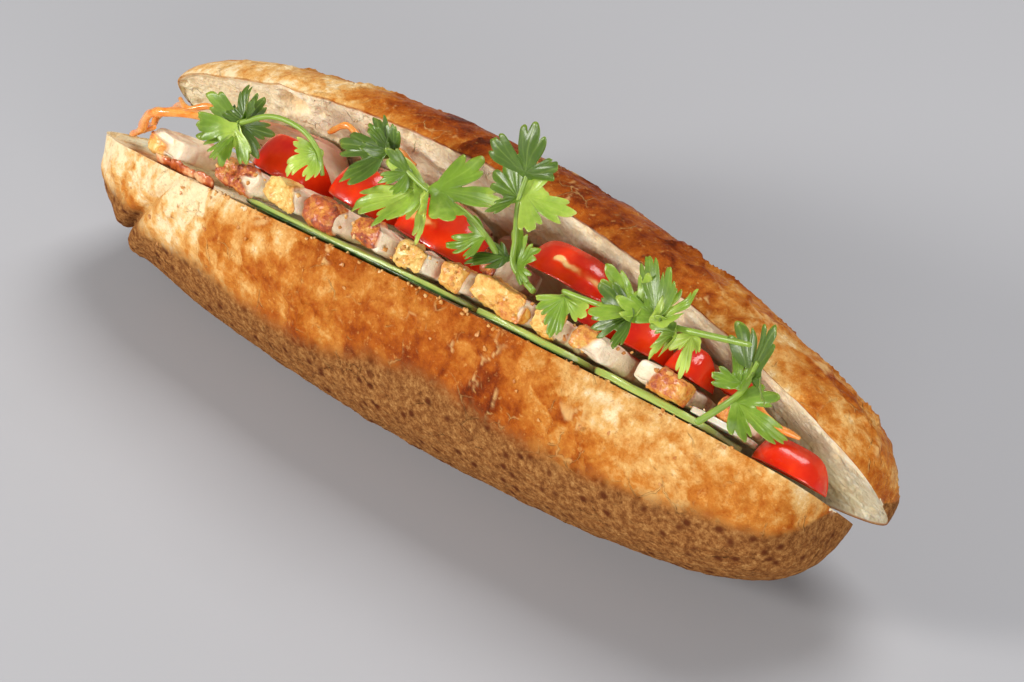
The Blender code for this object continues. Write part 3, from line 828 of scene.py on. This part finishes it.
def pork_slice(number, place, size, turn, roast, cover):
    """One slice: a rounded block with an uneven cut and bubbles over its rind.

    The rind is deepest at the left edge of the slice, or at the right where cover is
    below 0, and thins out from there; its lower border wavers. Two sizes of bubbles
    stand on it.
    """
    local, unit = rounded_block(size, PORK_CORNER, *PORK_POINTS)
    seed = 600 + 20 * number
    own = local + seed * 3.7
    lump = 1.4 * layered_noise(own, 7, seed, 3)
    depth = size[2] / 2 - local[..., 2]
    right = (unit[..., 0] + 1) / 2 if cover > 0 else (1 - unit[..., 0]) / 2
    share = np.clip(abs(cover) - right + 0.6 * smooth_noise(own, 4, seed + 2), -1, 1)
    edge = RIND_DEPTH * (1.0 + 2.6 * share + 0.3 * smooth_noise(own * [1, 1, 0], 3.5, seed + 3))
    rind = 1 - step_up(depth, edge - 0.4, edge + 0.3)
    near, _, value = cell_distances(own, 2.6, seed + 4)
    small_near, _, small_value = cell_distances(own, 1.1, seed + 9)
    bubbles = 1.2 * np.clip(0.62 - near, 0, 1) * (0.2 + value)
    bubbles += 0.6 * np.clip(0.55 - small_near, 0, 1) * (0.4 + small_value)
    top = step_up(unit[..., 2], 0.80, 0.99)
    band = 0.5 + 0.5 * np.sin(depth * 0.62 - 1.4 + 0.9 * lump)
    lean = step_up(band, 0.62, 0.85) * (1 - rind) * step_up(depth, 4.5, 7.0)
    normal = surface_normals(local, local)
    height = 0.8 * lump + rind * (0.15 + bubbles) - 0.6 * top
    height += (1 - rind) * (0.2 * layered_noise(own, 2.6, seed + 14, 3) - 0.45)
    height -= 0.35 * dome(depth, edge + 0.5, 0.5)
    local = local + normal * height[..., None] * 0.9
    local[..., 2] += top * (0.9 * smooth_noise(own * [1, 1, 0], 5, seed + 17)
                            + 0.14 * abs(cover) * (0.5 - right) * size[0])
    outward = lip(FRONT, place[0]) + place[1] - size[2] / 2
    points = stand_by_face(local, FRONT, (place[0], outward, place[2]), turn)
    tone = 0.88 * roast + 0.3 * (value - 0.5) + 0.3 * np.clip(0.5 - near, 0, 1) - 0.15 * share
    values = dict(rind=ring_values(rind), lean=ring_values(lean),
                  roast=ring_values(np.clip(tone, 0, 1.2)))
    return (*closed_rings(points), values)


def build_pork():
    """Slices that stand side by side, crackling up."""
    finish = pork_material()
    for number, (place, size, turn, roast, cover) in enumerate(PORK, 1):
        add_piece(f"pork_{number}", pork_slice(number, place, size, turn, roast, cover), finish,
                  [f"pork_slice_{number}"])


# ---------------------------------------------------------------- tomato

# place of the wedge's edge: along X, out from the hinge, off the front cut face;
# length and radius; turn in degrees
TOMATOES = [((-55, 43, 10.1), 23, 12.5, (4, 2, 2)),
            ((-30.5, 43, 11.5), 19, 12.5, (4, -4, -2)),
            ((-2.3, 43, 10.3), 33, 13.5, (3, 2, 0)),
            ((34.5, 44, 16.6), 28, 11.0, (4, 2, 2)),
            ((46.2, 46, 9.6), 11, 7.5, (0, 4, 1)),
            ((60.8, 45, 9.6), 15, 10.5, (0, 4, 1)),
            ((75.2, 46, 9.2), 12, 9.5, (0, 4, 1)),
            ((86, 42, 10.6), 8.5, 8.5, (0, 8, 0)),
            ((104.8, 38.0, 1.0), 19, 9.0, (0, 17, 3))]
WEDGE_ANGLE = 54.0
WEDGE_STATIONS = 110
WEDGE_LOOP = 120
TOMATO_FULLNESS = 3.4
SKIN_DEPTH = 0.7
# number: a band of pith on its round side: the band's middle and half width as shares of
# half the wedge's angle, and its start and end along the wedge from -1 to 1
PITH_UP = {3: (-0.1, 0.32, -0.75, 0.1), 4: (-0.15, 0.30, -0.35, 0.85), 7: (0.2, 0.25, -0.6, 0.6)}


def tomato_material():
    """Glossy red skin, and wet flesh from red at the skin to pale yellow at the pith."""
    look = Finish("tomato", Subsurface_Scale=2.0 * MM, Subsurface_Weight=0.15,
                  Specular_IOR_Level=0.4, Coat_Weight=0.3, Coat_Roughness=0.06)
    skin = look.ramp(look.noise(9.0, 3.0), (0.35, colour(206, 30, 8)), (0.65, colour(230, 58, 16)))
    streak = look.between(look.noise(2.6, 4.0, 0.6), 0.56, 0.74)
    skin = look.mix(look.math("MULTIPLY", streak, 0.4), skin, colour(224, 84, 36))
    flesh = look.ramp(look.mask("core"), (0.0, colour(216, 44, 14)), (0.35, colour(226, 84, 32)),
                      (0.7, colour(234, 146, 80)), (1.0, colour(242, 196, 128)))
    flesh = look.mix(look.math("MULTIPLY", look.between(look.noise(1.4, 3.0), 0.5, 0.7), 0.4),
                     flesh, colour(226, 88, 40))
    base = look.mix(look.mask("flesh"), skin, flesh)
    rough = look.mix(look.mask("flesh"), (0.2, 0.2, 0.2, 1), (0.3, 0.3, 0.3, 1))
    return look.shade(Base_Color=base, Roughness=rough,
                      Normal=look.bump(look.noise(2.0, 3.0), 0.12))


def tomato_wedge(number, place, length, radius, turn):
    """One wedge: a sector of a circle carried along its long axis.

    The sector's loop is its arc and its two straight cut sides, spread evenly, with
    corners eased by averaging neighbours. Its size along the axis is the root of
    1 - |t|^fullness, so that the ends are blunt. Pith shows on the cut sides, and in a
    band on the round side of the wedges in PITH_UP.
    """
    half_angle = math.radians(WEDGE_ANGLE / 2)
    arc = np.linspace(-half_angle, half_angle, 24)
    corners = np.vstack(([[0, 0]], np.stack((np.sin(arc), np.cos(arc)), axis=-1)))
    loop = even_path(corners, WEDGE_LOOP, closed=True)
    for _ in range(2):
        loop = (np.roll(loop, 1, axis=0) + 2 * loop + np.roll(loop, -1, axis=0)) / 4
    t = np.sin(np.linspace(-math.pi / 2, math.pi / 2, WEDGE_STATIONS)) * 0.999
    blunt = np.sqrt(1 - np.abs(t) ** TOMATO_FULLNESS)
    section = loop[None] * blunt[:, None, None] * radius
    from_axis = np.linalg.norm(section, axis=-1)
    flesh = step_up(radius * blunt[:, None] - from_axis, SKIN_DEPTH, SKIN_DEPTH + 0.5)
    x = t[:, None] * length / 2 + section[..., 0] * 0
    local = np.stack((x, section[..., 0], section[..., 1]), axis=-1)
    seed = 900 + 10 * number
    own = local + seed * 2.3
    wander = layered_noise(own, 5, seed, 3)
    core = dome(from_axis / radius, 0.60 + 0.12 * wander, 0.15)
    core = core * step_up(1 - np.abs(t[:, None] + 0.3 * wander), 0.25, 0.6)
    core = core * step_up(smooth_noise(own, 7, seed + 3), -0.5, 0.1) * flesh
    if number in PITH_UP:
        middle, width, start, end = PITH_UP[number]
        across = np.arctan2(section[..., 0], np.maximum(section[..., 1], 1e-6)) / half_angle
        band = dome(across, middle + 0.3 * wander, width) * (1 - flesh)
        band = band * (0.62 + 0.55 * layered_noise(own, 4, seed + 5, 3))
        band = band * step_up(t[:, None] + 0.12 * wander, start, start + 0.15)
        band = step_up(band * (1 - step_up(t[:, None] + 0.12 * wander, end - 0.15, end)), 0.2, 0.75)
        core = np.maximum(core, band)
        flesh = np.maximum(flesh, band)
    centre = np.array([0, 0, 0.6]) * radius * blunt[:, None, None]
    normal = surface_normals(local, (local - centre) * [0.2, 1, 1])
    height = 0.3 * smooth_noise(own, 8, seed + 1) * (1 - flesh)
    height += flesh * (0.35 * layered_noise(own, 3.5, seed + 2, 3) - 0.35 + 0.35 * core)
    local = local + normal * height[..., None]
    tilt = turn_matrix((-WEDGE_ANGLE / 2, 0, 0))
    points = stand_by_face(local @ tilt.T, FRONT, place, turn)
    values = dict(flesh=ring_values(flesh), core=ring_values(core))
    return (*closed_rings(points), values)


def build_tomato():
    """Wedges in a row behind the pork, skin up."""
    finish = tomato_material()
    for number, (place, length, radius, turn) in enumerate(TOMATOES, 1):
        add_piece(f"tomato_{number}", tomato_wedge(number, place, length, radius, turn), finish,
                  [f"tomato_wedge_{number}"], sharp=70)


# ---------------------------------------------------------------- carrot

# Strands: radius (mm), how much thinner the ends are, how much and how often the strand
# swells, and how many points it has along and around
SHRED = dict(radius=1.05, thinner=0.35, swell=0.12, beat=23, stations=90, around=20)
LOOSE_SHRED = dict(radius=0.85, thinner=0.4, swell=0.1, beat=19, stations=50, around=12)
# Points along each shred, in filling places (mm)
CARROTS = [((-104, -18, 50), (-97, -17, 56), (-88, -14, 66), (-76, -9, 66), (-66, -5, 62)),
           ((-104, -12, 46), (-96, -10, 55), (-84, -8, 60), (-74, -5, 58)),
           ((-36, 8, 53), (-30, 11, 56), (-22, 10.5, 53))]
LOOSE_SHREDS = [((-113, -13, 40), (-107, -11, 47), (-101, -10, 52), (-95, -9, 55)),
                ((-110, -9, 41), (-104, -9, 47), (-99, -12, 52), (-96, -15, 54)),
                ((-114, -10, 36), (-108, -14, 44), (-100, -16, 52), (-93, -15, 57)),
                ((-97, -4, 52), (-90, -6, 55), (-84, -3, 56), (-78, -4, 57)),
                ((-108, -5, 40), (-101, -4, 46), (-94, -7, 51), (-88, -4, 54)),
                ((94, 2, 54), (100, 0, 50), (106, 1, 46)),
                ((-46, 6, 58), (-40, 9, 61), (-33, 7, 60))]


def carrot_strand(points, number, radius, thinner, swell, beat, stations, around):
    """A round strand along a smooth route, thinner at its ends, swelling here and there."""
    route = smooth_route(filling_point(points), stations)
    along = np.linspace(0, 1, stations)
    radii = radius * (1 - thinner * np.abs(2 * along - 1) ** 4)
    radii *= 1 + swell * np.sin(along * beat + number)
    return (*closed_rings(tube_rings(route, radii, around)), {})


def build_carrot():
    """Shreds of pickled carrot, and finer loose ones as one piece."""
    look = Finish("carrot", Roughness=0.25, Subsurface_Weight=0.3, Subsurface_Scale=2.0 * MM,
                  Coat_Weight=0.3)
    base = look.ramp(look.noise(2.5, 4.0), (0.35, colour(228, 132, 44)),
                     (0.65, colour(240, 168, 84)))
    finish = look.shade(Base_Color=base, Normal=look.bump(look.noise(1.0, 3.0), 0.15))
    for number, points in enumerate(CARROTS, 1):
        add_piece(f"carrot_{number}", carrot_strand(points, number, **SHRED), finish,
                  [f"carrot_shred_{number}"])
    loose = [carrot_strand(points, number, **LOOSE_SHRED)
             for number, points in enumerate(LOOSE_SHREDS)]
    add_piece("carrot_loose_shreds", join_surfaces(loose), finish)


# ---------------------------------------------------------------- coriander

# Each sprig: stems as (points, width at the start, width at the end), and leaflets as
# (base, tip, width, tilt to the side in degrees, cup), in filling places (mm)
SPRIGS = [
    dict(stems=[([(-63, -6, 67.2), (-53, -1, 70.5), (-43, 0, 71), (-36, -2, 68.8),
                  (-33, -6, 65)], 0.75, 0.55)],
         leaves=[((-62, -6, 67.2), (-75, -14, 66.1), 19, 10, 1.2),
                 ((-62, -6, 67.2), (-55, -1, 62), 15, -20, 1.5),
                 ((-62, -6.5, 67.2), (-64, -19, 64), 18, 15, 1.4),
                 ((-36, -2, 68.8), (-40, -10, 66.7), 12, 10, 1.0),
                 ((-61, -5, 67.2), (-66, 3, 69.4), 12, 20, 1.2)]),
    dict(stems=[([(-15, 5, 74), (0, 2, 72), (12, 2, 71), (20, 0, 68.8),
                  (24, -2, 65.5)], 0.55, 0.8)],
         leaves=[((-14, 5, 74), (-31, 0, 71), 18, 8, 1.2),
                 ((-1, 2, 72), (-17, -10, 70), 18, 5, 1.5),
                 ((0, 2, 72), (4, -10, 67.8), 12, -25, 1.5),
                 ((2, 2.5, 72), (18, 10, 71), 17, 10, 1.5),
                 ((20, 0, 68.8), (11, -5, 67.8), 11, 10, 1.0),
                 ((-13, 5, 74), (-23, 7, 77), 9, 0, 1.2),
                 ((-6, 3.5, 73), (-12, -3, 75), 10, 20, 1.3)]),
    dict(stems=[([(26, 15, 79), (26, 9, 75), (27, 3, 68.8), (29, -2, 65.5),
                  (38, -5, 65.5)], 0.6, 0.8)],
         leaves=[((26, 14, 79), (25, 22, 89), 19, 5, 1.0),
                 ((26, 10, 75), (17, 11, 77), 15, 10, 1.2),
                 ((26, 11, 76), (40, 14, 75), 17, -10, 1.2),
                 ((29, -2, 65.5), (36, 4, 68.3), 13, 5, 1.2),
                 ((27, -1, 66.7), (19, -6, 68.3), 10, -10, 1.2)]),
    dict(stems=[([(46, -2, 68), (56, -1, 69), (68, 1, 70), (78, 3, 70), (99, 7, 74)], 0.6, 0.8)],
         leaves=[((47, -2, 68), (50, -13, 67), 14, 10, 1.2),
                 ((67.4, 1.2, 70), (55, 6, 73), 16, 5, 1.2),
                 ((67, 0.8, 70.1), (58, -8, 69), 16, 8, 1.3),
                 ((73, 2, 70), (62, 12, 75), 13, 10, 1.2),
                 ((79, 3, 70), (75, -7, 68), 11, -10, 1.2),
                 ((73, 2, 70), (80, 11, 76), 9, 0, 1.2),
                 ((82, 4, 70), (84, -5, 68), 8, 0, 1.0)]),
    dict(stems=[([(93, -12, 64), (98, -4, 66), (101, 0, 70), (103, 4, 75)], 0.85, 0.6)],
         leaves=[((101.2, 0.3, 70.2), (105, 9, 82), 19, 5, 1.2),
                 ((98.3, -3.8, 66.4), (112, -5, 61), 12, -10, 1.2),
                 ((100, -1, 69), (94, 5, 74), 10, 10, 1.2)])]
# Each lobe of a leaflet: its direction from the leaflet's line (degrees), its length as
# a share of the leaflet's, and half its width (degrees)
LEAF_LOBES = [(-54, 0.84, 27), (0, 1.0, 27), (54, 0.84, 27)]
STEM_STATIONS = 70
STEM_AROUND = 14
LEAF_OUTLINE = 200
LEAF_RINGS = 11
LEAF_THICKNESS = 0.28


def leaf_outline(seed):
    """The rim of a leaflet round its base, as (ahead, aside) with its tip near 1 ahead.

    The distance from the base by direction is the largest of three lobes and a round
    middle. A lobe falls off from its own direction, and a few scallops run along it.
    Each leaflet's lobes differ in direction and length, and its rim wavers. Gives the
    rim and the directions of the lobes.
    """
    turn = np.linspace(-180, 180, LEAF_OUTLINE, endpoint=False)
    turn = turn * (0.55 + 0.45 * np.abs(turn / 180) ** 1.5)
    reach = 0.06 + 0.44 * dome(turn, 0, 68)
    middles = []
    for index, (middle, length, width) in enumerate(LEAF_LOBES):
        luck = [lattice_value(index, k, 3, seed) - 0.5 for k in range(4)]
        middle = middle + 14 * luck[0]
        u = (turn - middle) / (width * (1 + 0.3 * luck[1]))
        lobe = np.clip(1 - np.abs(u) ** 2.6, 0, 1) ** 0.5
        scallop = np.abs(np.cos((1.5 + 0.6 * luck[1]) * math.pi * u + 0.9 * luck[2])) ** 0.6
        reach = np.maximum(reach, length * (1 + 0.30 * luck[3]) * lobe * (0.76 + 0.24 * scallop))
        middles.append(middle)
    around = np.stack((np.cos(np.radians(turn)), np.sin(np.radians(turn)), turn * 0 + seed),
                      axis=-1)
    fine, broad = smooth_noise(around, 0.09, seed), smooth_noise(around, 0.3, seed + 1)
    reach *= 1 + 0.07 * fine + 0.07 * broad
    return reach[:, None] * around[:, :2], middles


def leaf_surface(base, tip, width, tilt, cup, seed):
    """A leaflet: its rim drawn in towards a point ahead of the base, top and underside.

    The blade is cupped by the square of the distance aside, droops by the square of
    the distance ahead, waves towards its rim, and is creased along its veins.
    """
    root, end = filling_point(base), filling_point(tip)
    forward = end - root
    length = np.linalg.norm(forward)
    ahead_unit = forward / length
    side_unit = np.cross(ahead_unit, filling_point((0, 0, 1)) - filling_point((0, 0, 0)))
    side_unit /= np.linalg.norm(side_unit)
    lift_unit = np.cross(side_unit, ahead_unit)
    lean = math.radians(tilt)
    side_unit, lift_unit = (side_unit * math.cos(lean) + lift_unit * math.sin(lean),
                            lift_unit * math.cos(lean) - side_unit * math.sin(lean))
    rim, middles = leaf_outline(seed)
    heart = np.array([0.10, 0.0])
    share = np.linspace(0.03, 1, LEAF_RINGS) ** 0.85
    share = np.concatenate((share, share[::-1]))[:, None]
    face = np.concatenate((np.ones(LEAF_RINGS), -np.ones(LEAF_RINGS)))[:, None]
    flat = heart + share[..., None] * (rim[None] - heart)
    ahead, aside = flat[..., 0] * length, flat[..., 1] * width / 1.35
    place = np.stack((ahead, aside, ahead * 0 + seed), axis=-1)
    direction = np.degrees(np.arctan2(flat[..., 1], flat[..., 0]))
    out = np.hypot(flat[..., 0], flat[..., 1])
    main_vein = sum(dome(direction, middle, 0.7 + 0.3 / (out + 0.15)) for middle in middles)
    main_vein = main_vein * step_up(out, 0.05, 0.3)
    twigs = sum(dome(direction, middle + side * (6 + 9 * out), 1.4) for middle in middles
                for side in (-1, 1)) * step_up(out, 0.25, 0.45)
    lift = cup * 1.8 * (aside / (width / 2)) ** 2 - 1.3 * cup * flat[..., 0] ** 2
    lift += (2.6 * smooth_noise(place, 7.5, seed) + 0.45 * smooth_noise(place, 3, seed + 1)) * share
    lift -= 0.09 * main_vein * out + 0.02 * twigs
    lift += face * LEAF_THICKNESS / 2 * (1 - share ** 6 * 0.9)
    points = (root + ahead[..., None] * ahead_unit + aside[..., None] * side_unit
              + lift[..., None] * lift_unit)
    own_tone = 0.5 + 0.3 * smooth_noise(place, 9, seed + 2)
    own_tone += 1.2 * (lattice_value(seed, 1, 1, 9) - 0.5)
    values = dict(vein=ring_values(np.clip(0.7 * main_vein + 0.35 * twigs, 0, 1)),
                  under=ring_values((face < 0) * 1.0 + 0 * direction),
                  tone=ring_values(np.clip(own_tone, 0, 1)))
    return (*closed_rings(points), values)


def stem_surface(points, start_width, end_width):
    """A stem: circles along a smooth route, from one width to the other."""
    route = smooth_route(filling_point(points), STEM_STATIONS)
    radii = np.linspace(start_width, end_width, STEM_STATIONS)
    radii[0] *= 0.8
    radii[-1] *= 0.8
    rings = tube_rings(route, radii, STEM_AROUND)
    flat = np.zeros(rings.shape[:2])
    values = dict(vein=ring_values(flat + 0.7), under=ring_values(flat),
                  tone=ring_values(flat + 0.5))
    return (*closed_rings(rings), values)


def leaf_material():
    """Fresh green with paler veins and underside, softly glossy, lit a little from within."""
    look = Finish("coriander", Roughness=0.36, Subsurface_Weight=0.35, Subsurface_Scale=1.0 * MM,
                  Specular_IOR_Level=0.5)
    look.shader.inputs["Subsurface Radius"].default_value = (0.7, 1.0, 0.12)
    tone = look.math("ADD", look.mask("tone"),
                     look.math("MULTIPLY", look.math("SUBTRACT", look.noise(3.0, 4.0), 0.5), 0.5))
    base = look.ramp(tone, (0.1, colour(72, 98, 28)), (0.5, colour(114, 146, 40)),
                     (0.9, colour(176, 200, 84)))
    base = look.mix(look.math("MULTIPLY", look.mask("vein"), 0.32), base, colour(176, 196, 96))
    base = look.mix(look.math("MULTIPLY", look.mask("under"), 0.45), base, colour(146, 166, 92))
    return look.shade(Base_Color=base, Normal=look.bump(look.noise(1.0, 3.0), 0.06))


def build_coriander():
    """Sprigs on top of the filling: stems with their leaflets, one piece for each sprig."""
    finish = leaf_material()
    for number, sprig in enumerate(SPRIGS, 1):
        surfaces = [stem_surface(*stem) for stem in sprig["stems"]]
        for index, leaf in enumerate(sprig["leaves"]):
            surfaces.append(leaf_surface(*leaf, 1200 + 40 * number + 5 * index))
        add_piece(f"sprig_{number}", join_surfaces(surfaces), finish,
                  [f"coriander_sprig_{number}"])


# ---------------------------------------------------------------- loose bits

FLAKE_COUNT = 30
CRUMB_COUNT = 170
SCRAP_COUNT = 8
FLAKE_SEED = 11
CRUMB_SEED = 12
SCRAP_SEED = 14
# how many of the crust's stations to leave out at its left and right end
FLAKE_MARGINS = (40, 30)
# from where to where along X they lie, and their smallest and largest size (mm)
CRUMB_SPAN = (-70, 100)
SCRAP_SPAN = (-90, -69)
FLAKE_SIZE = (0.3, 0.85)
CRUMB_SIZE = (0.2, 0.6)
SCRAP_SIZE = ([1.3, 0.6, 0.9], [2.8, 0.85, 2.2])


def unit_ball(rows, around, pole):
    """Rings of points on a ball of radius 1, open within an angle of its poles."""
    polar = np.linspace(pole, math.pi - pole, rows)[:, None]
    turn = np.linspace(0, 2 * math.pi, around, endpoint=False)[None]
    return np.stack(np.broadcast_arrays(np.sin(polar) * np.cos(turn), np.sin(polar) * np.sin(turn),
                                        np.cos(polar)), axis=-1)


def build_crust_flakes(grid, normal):
    """Chips of broken crust on the front half: thin discs, curled by their width squared.

    Each lies at a point of the crust, turned a little off the crust's own slope.
    """
    rng = np.random.default_rng(FLAKE_SEED)
    look = Finish("crust_flakes", Roughness=0.35)
    base = look.ramp(look.noise(2.0, 3.0), (0.35, colour(182, 106, 42)),
                     (0.65, colour(214, 154, 84)))
    finish = look.shade(Base_Color=base, Normal=look.bump(look.noise(0.8, 3.0), 0.1))
    turn = np.linspace(0, 2 * math.pi, 14, endpoint=False)
    share = np.array([0.1, 0.55, 1.0, 1.0, 0.55, 0.1])[:, None]
    face = np.array([1, 1, 0.4, -0.4, -1, -1])[:, None]
    flakes = []
    for _ in range(FLAKE_COUNT):
        i = rng.integers(FLAKE_MARGINS[0], grid.shape[0] - FLAKE_MARGINS[1])
        j = rng.integers(3, 60)
        size = rng.uniform(*FLAKE_SIZE)
        lobes = 0.18 * np.sin(turn * 3 + rng.uniform(0, 6))
        rim = size * (1 + lobes + rng.uniform(-0.15, 0.15, 14))
        out = normal[i, j]
        side = np.cross(out, rng.normal(size=3))
        side /= np.linalg.norm(side)
        lean = rng.uniform(0.05, 0.4)
        side = side * math.cos(lean) + out * math.sin(lean)
        other = np.cross(out, side)
        other /= np.linalg.norm(other)
        up = np.cross(side, other)
        u, v = share * rim * np.cos(turn), share * rim * np.sin(turn) * 0.6
        lift = 0.3 * v ** 2 / size + 0.09 * face
        centre = grid[i, j] + out * (0.1 + 0.5 * size * math.sin(lean))
        points = centre + u[..., None] * side + v[..., None] * other + lift[..., None] * up
        flakes.append((*closed_rings(points), {}))
    add_piece("crust_flakes", join_surfaces(flakes), finish)


def build_crumbs():
    """Crumbs of crackling and bread on the lip and on the pork: small uneven balls."""
    rng = np.random.default_rng(CRUMB_SEED)
    look = Finish("crumbs", Roughness=0.5)
    base = look.ramp(look.noise(6.0, 2.0), (0.4, colour(196, 126, 54)),
                     (0.55, colour(222, 170, 96)), (0.7, colour(244, 222, 182)))
    finish = look.shade(Base_Color=base, Normal=look.bump(look.noise(0.6, 3.0), 0.1))
    ball = unit_ball(6, 10, 0.2)
    crumbs = []
    for _ in range(CRUMB_COUNT):
        x = rng.uniform(*CRUMB_SPAN)
        off = rng.choice([rng.uniform(-1.2, 0.2), rng.uniform(3.5, 8.5)])
        above = 0.1 if off < 1 else rng.uniform(1.0, 3.2)
        size = rng.uniform(*CRUMB_SIZE)
        seat = beside_face(FRONT, np.float64(x), lip(FRONT, x) + above, off)
        lump = 1 + 0.5 * smooth_noise(ball * 3 + x * 3.1, 1.4, 77)[..., None]
        crumbs.append((*closed_rings(seat + ball * lump * size * rng.uniform(0.7, 1.2, 3)), {}))
    add_piece("crumbs", join_surfaces(crumbs), finish)


def build_roast_bits():
    """Glazed scraps of roast pork in the gap at the left end: uneven balls."""
    rng = np.random.default_rng(SCRAP_SEED)
    look = Finish("roast_bits", Roughness=0.3, Coat_Weight=0.3, Coat_Roughness=0.2)
    base = look.ramp(look.noise(3.0, 4.0), (0.35, colour(150, 56, 22)), (0.5, colour(196, 100, 44)),
                     (0.65, colour(236, 190, 140)))
    finish = look.shade(Base_Color=base, Normal=look.bump(look.noise(1.0, 3.0), 0.15))
    ball = unit_ball(18, 28, 0.15)
    bits = []
    for index in range(SCRAP_COUNT):
        x = SCRAP_SPAN[0] + (SCRAP_SPAN[1] - SCRAP_SPAN[0]) * index / (SCRAP_COUNT - 1)
        x += rng.uniform(-1, 1)
        size = rng.uniform(*SCRAP_SIZE)
        outward = lip(FRONT, x) - 1.6 + rng.uniform(-0.4, 0.6)
        seat = beside_face(FRONT, np.float64(x), outward, 1.2)
        lump = 1 + 0.55 * layered_noise(ball + index * 5.3, 1.1, 79, 3)[..., None]
        bits.append((*closed_rings(seat + ball * lump * size), {}))
    add_piece("roast_bits", join_surfaces(bits), finish)


build_crust_flakes(*front_crust)
build_crumbs()
build_roast_bits()
build_cucumber()
build_ham()
build_onion()
build_pork()
build_tomato()
build_carrot()
build_coriander()

# ---------------------------------------------------------------- floor, light and camera

# Camera: degrees round from the front and above level; metres from the middle of the
# sandwich; how far to the right and up of it the camera looks (metres); lens (mm)
CAMERA_AZIMUTH = 44.4
CAMERA_HEIGHT_ANGLE = 34.3
CAMERA_DISTANCE = 0.780
AIM_RIGHT = -0.0050
AIM_UP = -0.0286
LENS = 111.4
SENSOR = 36.0
# Light: name, place (metres right, away from the camera and up), width, power, tint
LIGHTS = [("key", (-0.98, -0.16, 0.40), 0.24, 9.6, (1.0, 0.97, 0.92)),
          ("fill", (0.15, -1.1, 0.20), 0.7, 11, (1.0, 0.98, 0.95)),
          ("top", (0.3, 0.25, 0.85), 0.5, 6.8, (1.0, 0.98, 0.95))]
LIGHT_TARGET = (0, 0, 0.04)
SKY_SHADE = (0.98, 0.98, 1.0, 1)
SKY_STRENGTH = 0.18
FLOOR_SHADE = colour(172, 173, 178)
# The floor in metres: half its width, where it starts and begins to curve up, and its rise
FLOOR_HALF_WIDTH = 2.5
FLOOR_START = -1.2
FLOOR_CURVE_START = 1.0
FLOOR_RISE = 0.5


def plain_finish(name, shade, roughness):
    """An even matte finish for the floor."""
    look = Finish(name, Roughness=roughness)
    look.shader.inputs["Base Color"].default_value = shade
    return look.material


def build_floor():
    """A wide pale sheet under the sandwich that faces the camera and curves up behind."""
    flat_rows, columns = 24, 12
    curve = np.linspace(0.1, 1.5, 14)
    depth = np.concatenate((np.linspace(FLOOR_START, FLOOR_CURVE_START, flat_rows),
                            FLOOR_CURVE_START + FLOOR_RISE * np.sin(curve)))
    height = np.concatenate((np.zeros(flat_rows), FLOOR_RISE - FLOOR_RISE * np.cos(curve)))
    width = np.linspace(-FLOOR_HALF_WIDTH, FLOOR_HALF_WIDTH, columns)
    grid = np.stack(np.broadcast_arrays(width[None], depth[:, None], height[:, None]), axis=-1)
    turn = math.radians(CAMERA_AZIMUTH)
    spin = np.array([[math.cos(turn), math.sin(turn), 0], [-math.sin(turn), math.cos(turn), 0],
                     [0, 0, 1]])
    points = (grid @ spin).reshape(-1, 3)
    first, step = np.meshgrid(np.arange(len(depth) - 1) * columns, np.arange(columns - 1),
                              indexing="ij")
    corner = first + step
    faces = np.stack((corner, corner + 1, corner + columns + 1, corner + columns),
                     axis=-1).reshape(-1, 4)
    mesh = bpy.data.meshes.new("floor")
    mesh.from_pydata(points.tolist(), [], faces.tolist())
    mesh.shade_smooth()
    mesh.materials.append(plain_finish("floor_finish", FLOOR_SHADE, 0.85))
    floor = bpy.data.objects.new("floor", mesh)
    bpy.context.scene.collection.objects.link(floor)


def add_light(name, place, target, size, power, shade):
    """A square soft light at a place, in metres, turned to face a target."""
    data = bpy.data.lights.new(name, "AREA")
    data.size = size
    data.energy = power
    data.color = shade
    light = bpy.data.objects.new(name, data)
    bpy.context.scene.collection.objects.link(light)
    light.location = place
    light.rotation_euler = (target - place).to_track_quat("-Z", "Y").to_euler()


def camera_axes():
    """Unit vectors of the view: towards the camera, to its right and up."""
    azimuth, height = math.radians(CAMERA_AZIMUTH), math.radians(CAMERA_HEIGHT_ANGLE)
    back = Vector((math.sin(azimuth) * math.cos(height), -math.cos(azimuth) * math.cos(height),
                   math.sin(height)))
    right = Vector((math.cos(azimuth), math.sin(azimuth), 0))
    return back, right, back.cross(right)


def build_camera():
    """A long lens, looking down on the opening from the front right."""
    back, right, up = camera_axes()
    middle = Vector((0, HINGE_BACK, HINGE_HIGH + 35)) * MM
    data = bpy.data.cameras.new("camera")
    data.lens = LENS
    data.sensor_width = SENSOR
    camera = bpy.data.objects.new("camera", data)
    bpy.context.scene.collection.objects.link(camera)
    camera.location = middle + back * CAMERA_DISTANCE
    aim = middle + right * AIM_RIGHT + up * AIM_UP
    camera.rotation_euler = (aim - camera.location).to_track_quat("-Z", "Y").to_euler()
    bpy.context.scene.camera = camera


def build_lights():
    """A key light low on the left, a soft fill low in front, a soft top light, a pale sky."""
    _, right, _ = camera_axes()
    target = Vector(LIGHT_TARGET)
    up = Vector((0, 0, 1))
    away = up.cross(right)
    for name, place, size, power, shade in LIGHTS:
        spot = target + right * place[0] + away * place[1] + up * place[2]
        add_light(name, spot, target, size, power, shade)
    world = bpy.data.worlds.new("studio")
    bpy.context.scene.world = world
    world.use_nodes = True
    sky = world.node_tree.nodes["Background"].inputs
    sky["Color"].default_value = SKY_SHADE
    sky["Strength"].default_value = SKY_STRENGTH
    bpy.context.scene.view_settings.view_transform = "Standard"


build_floor()
build_lights()
build_camera()
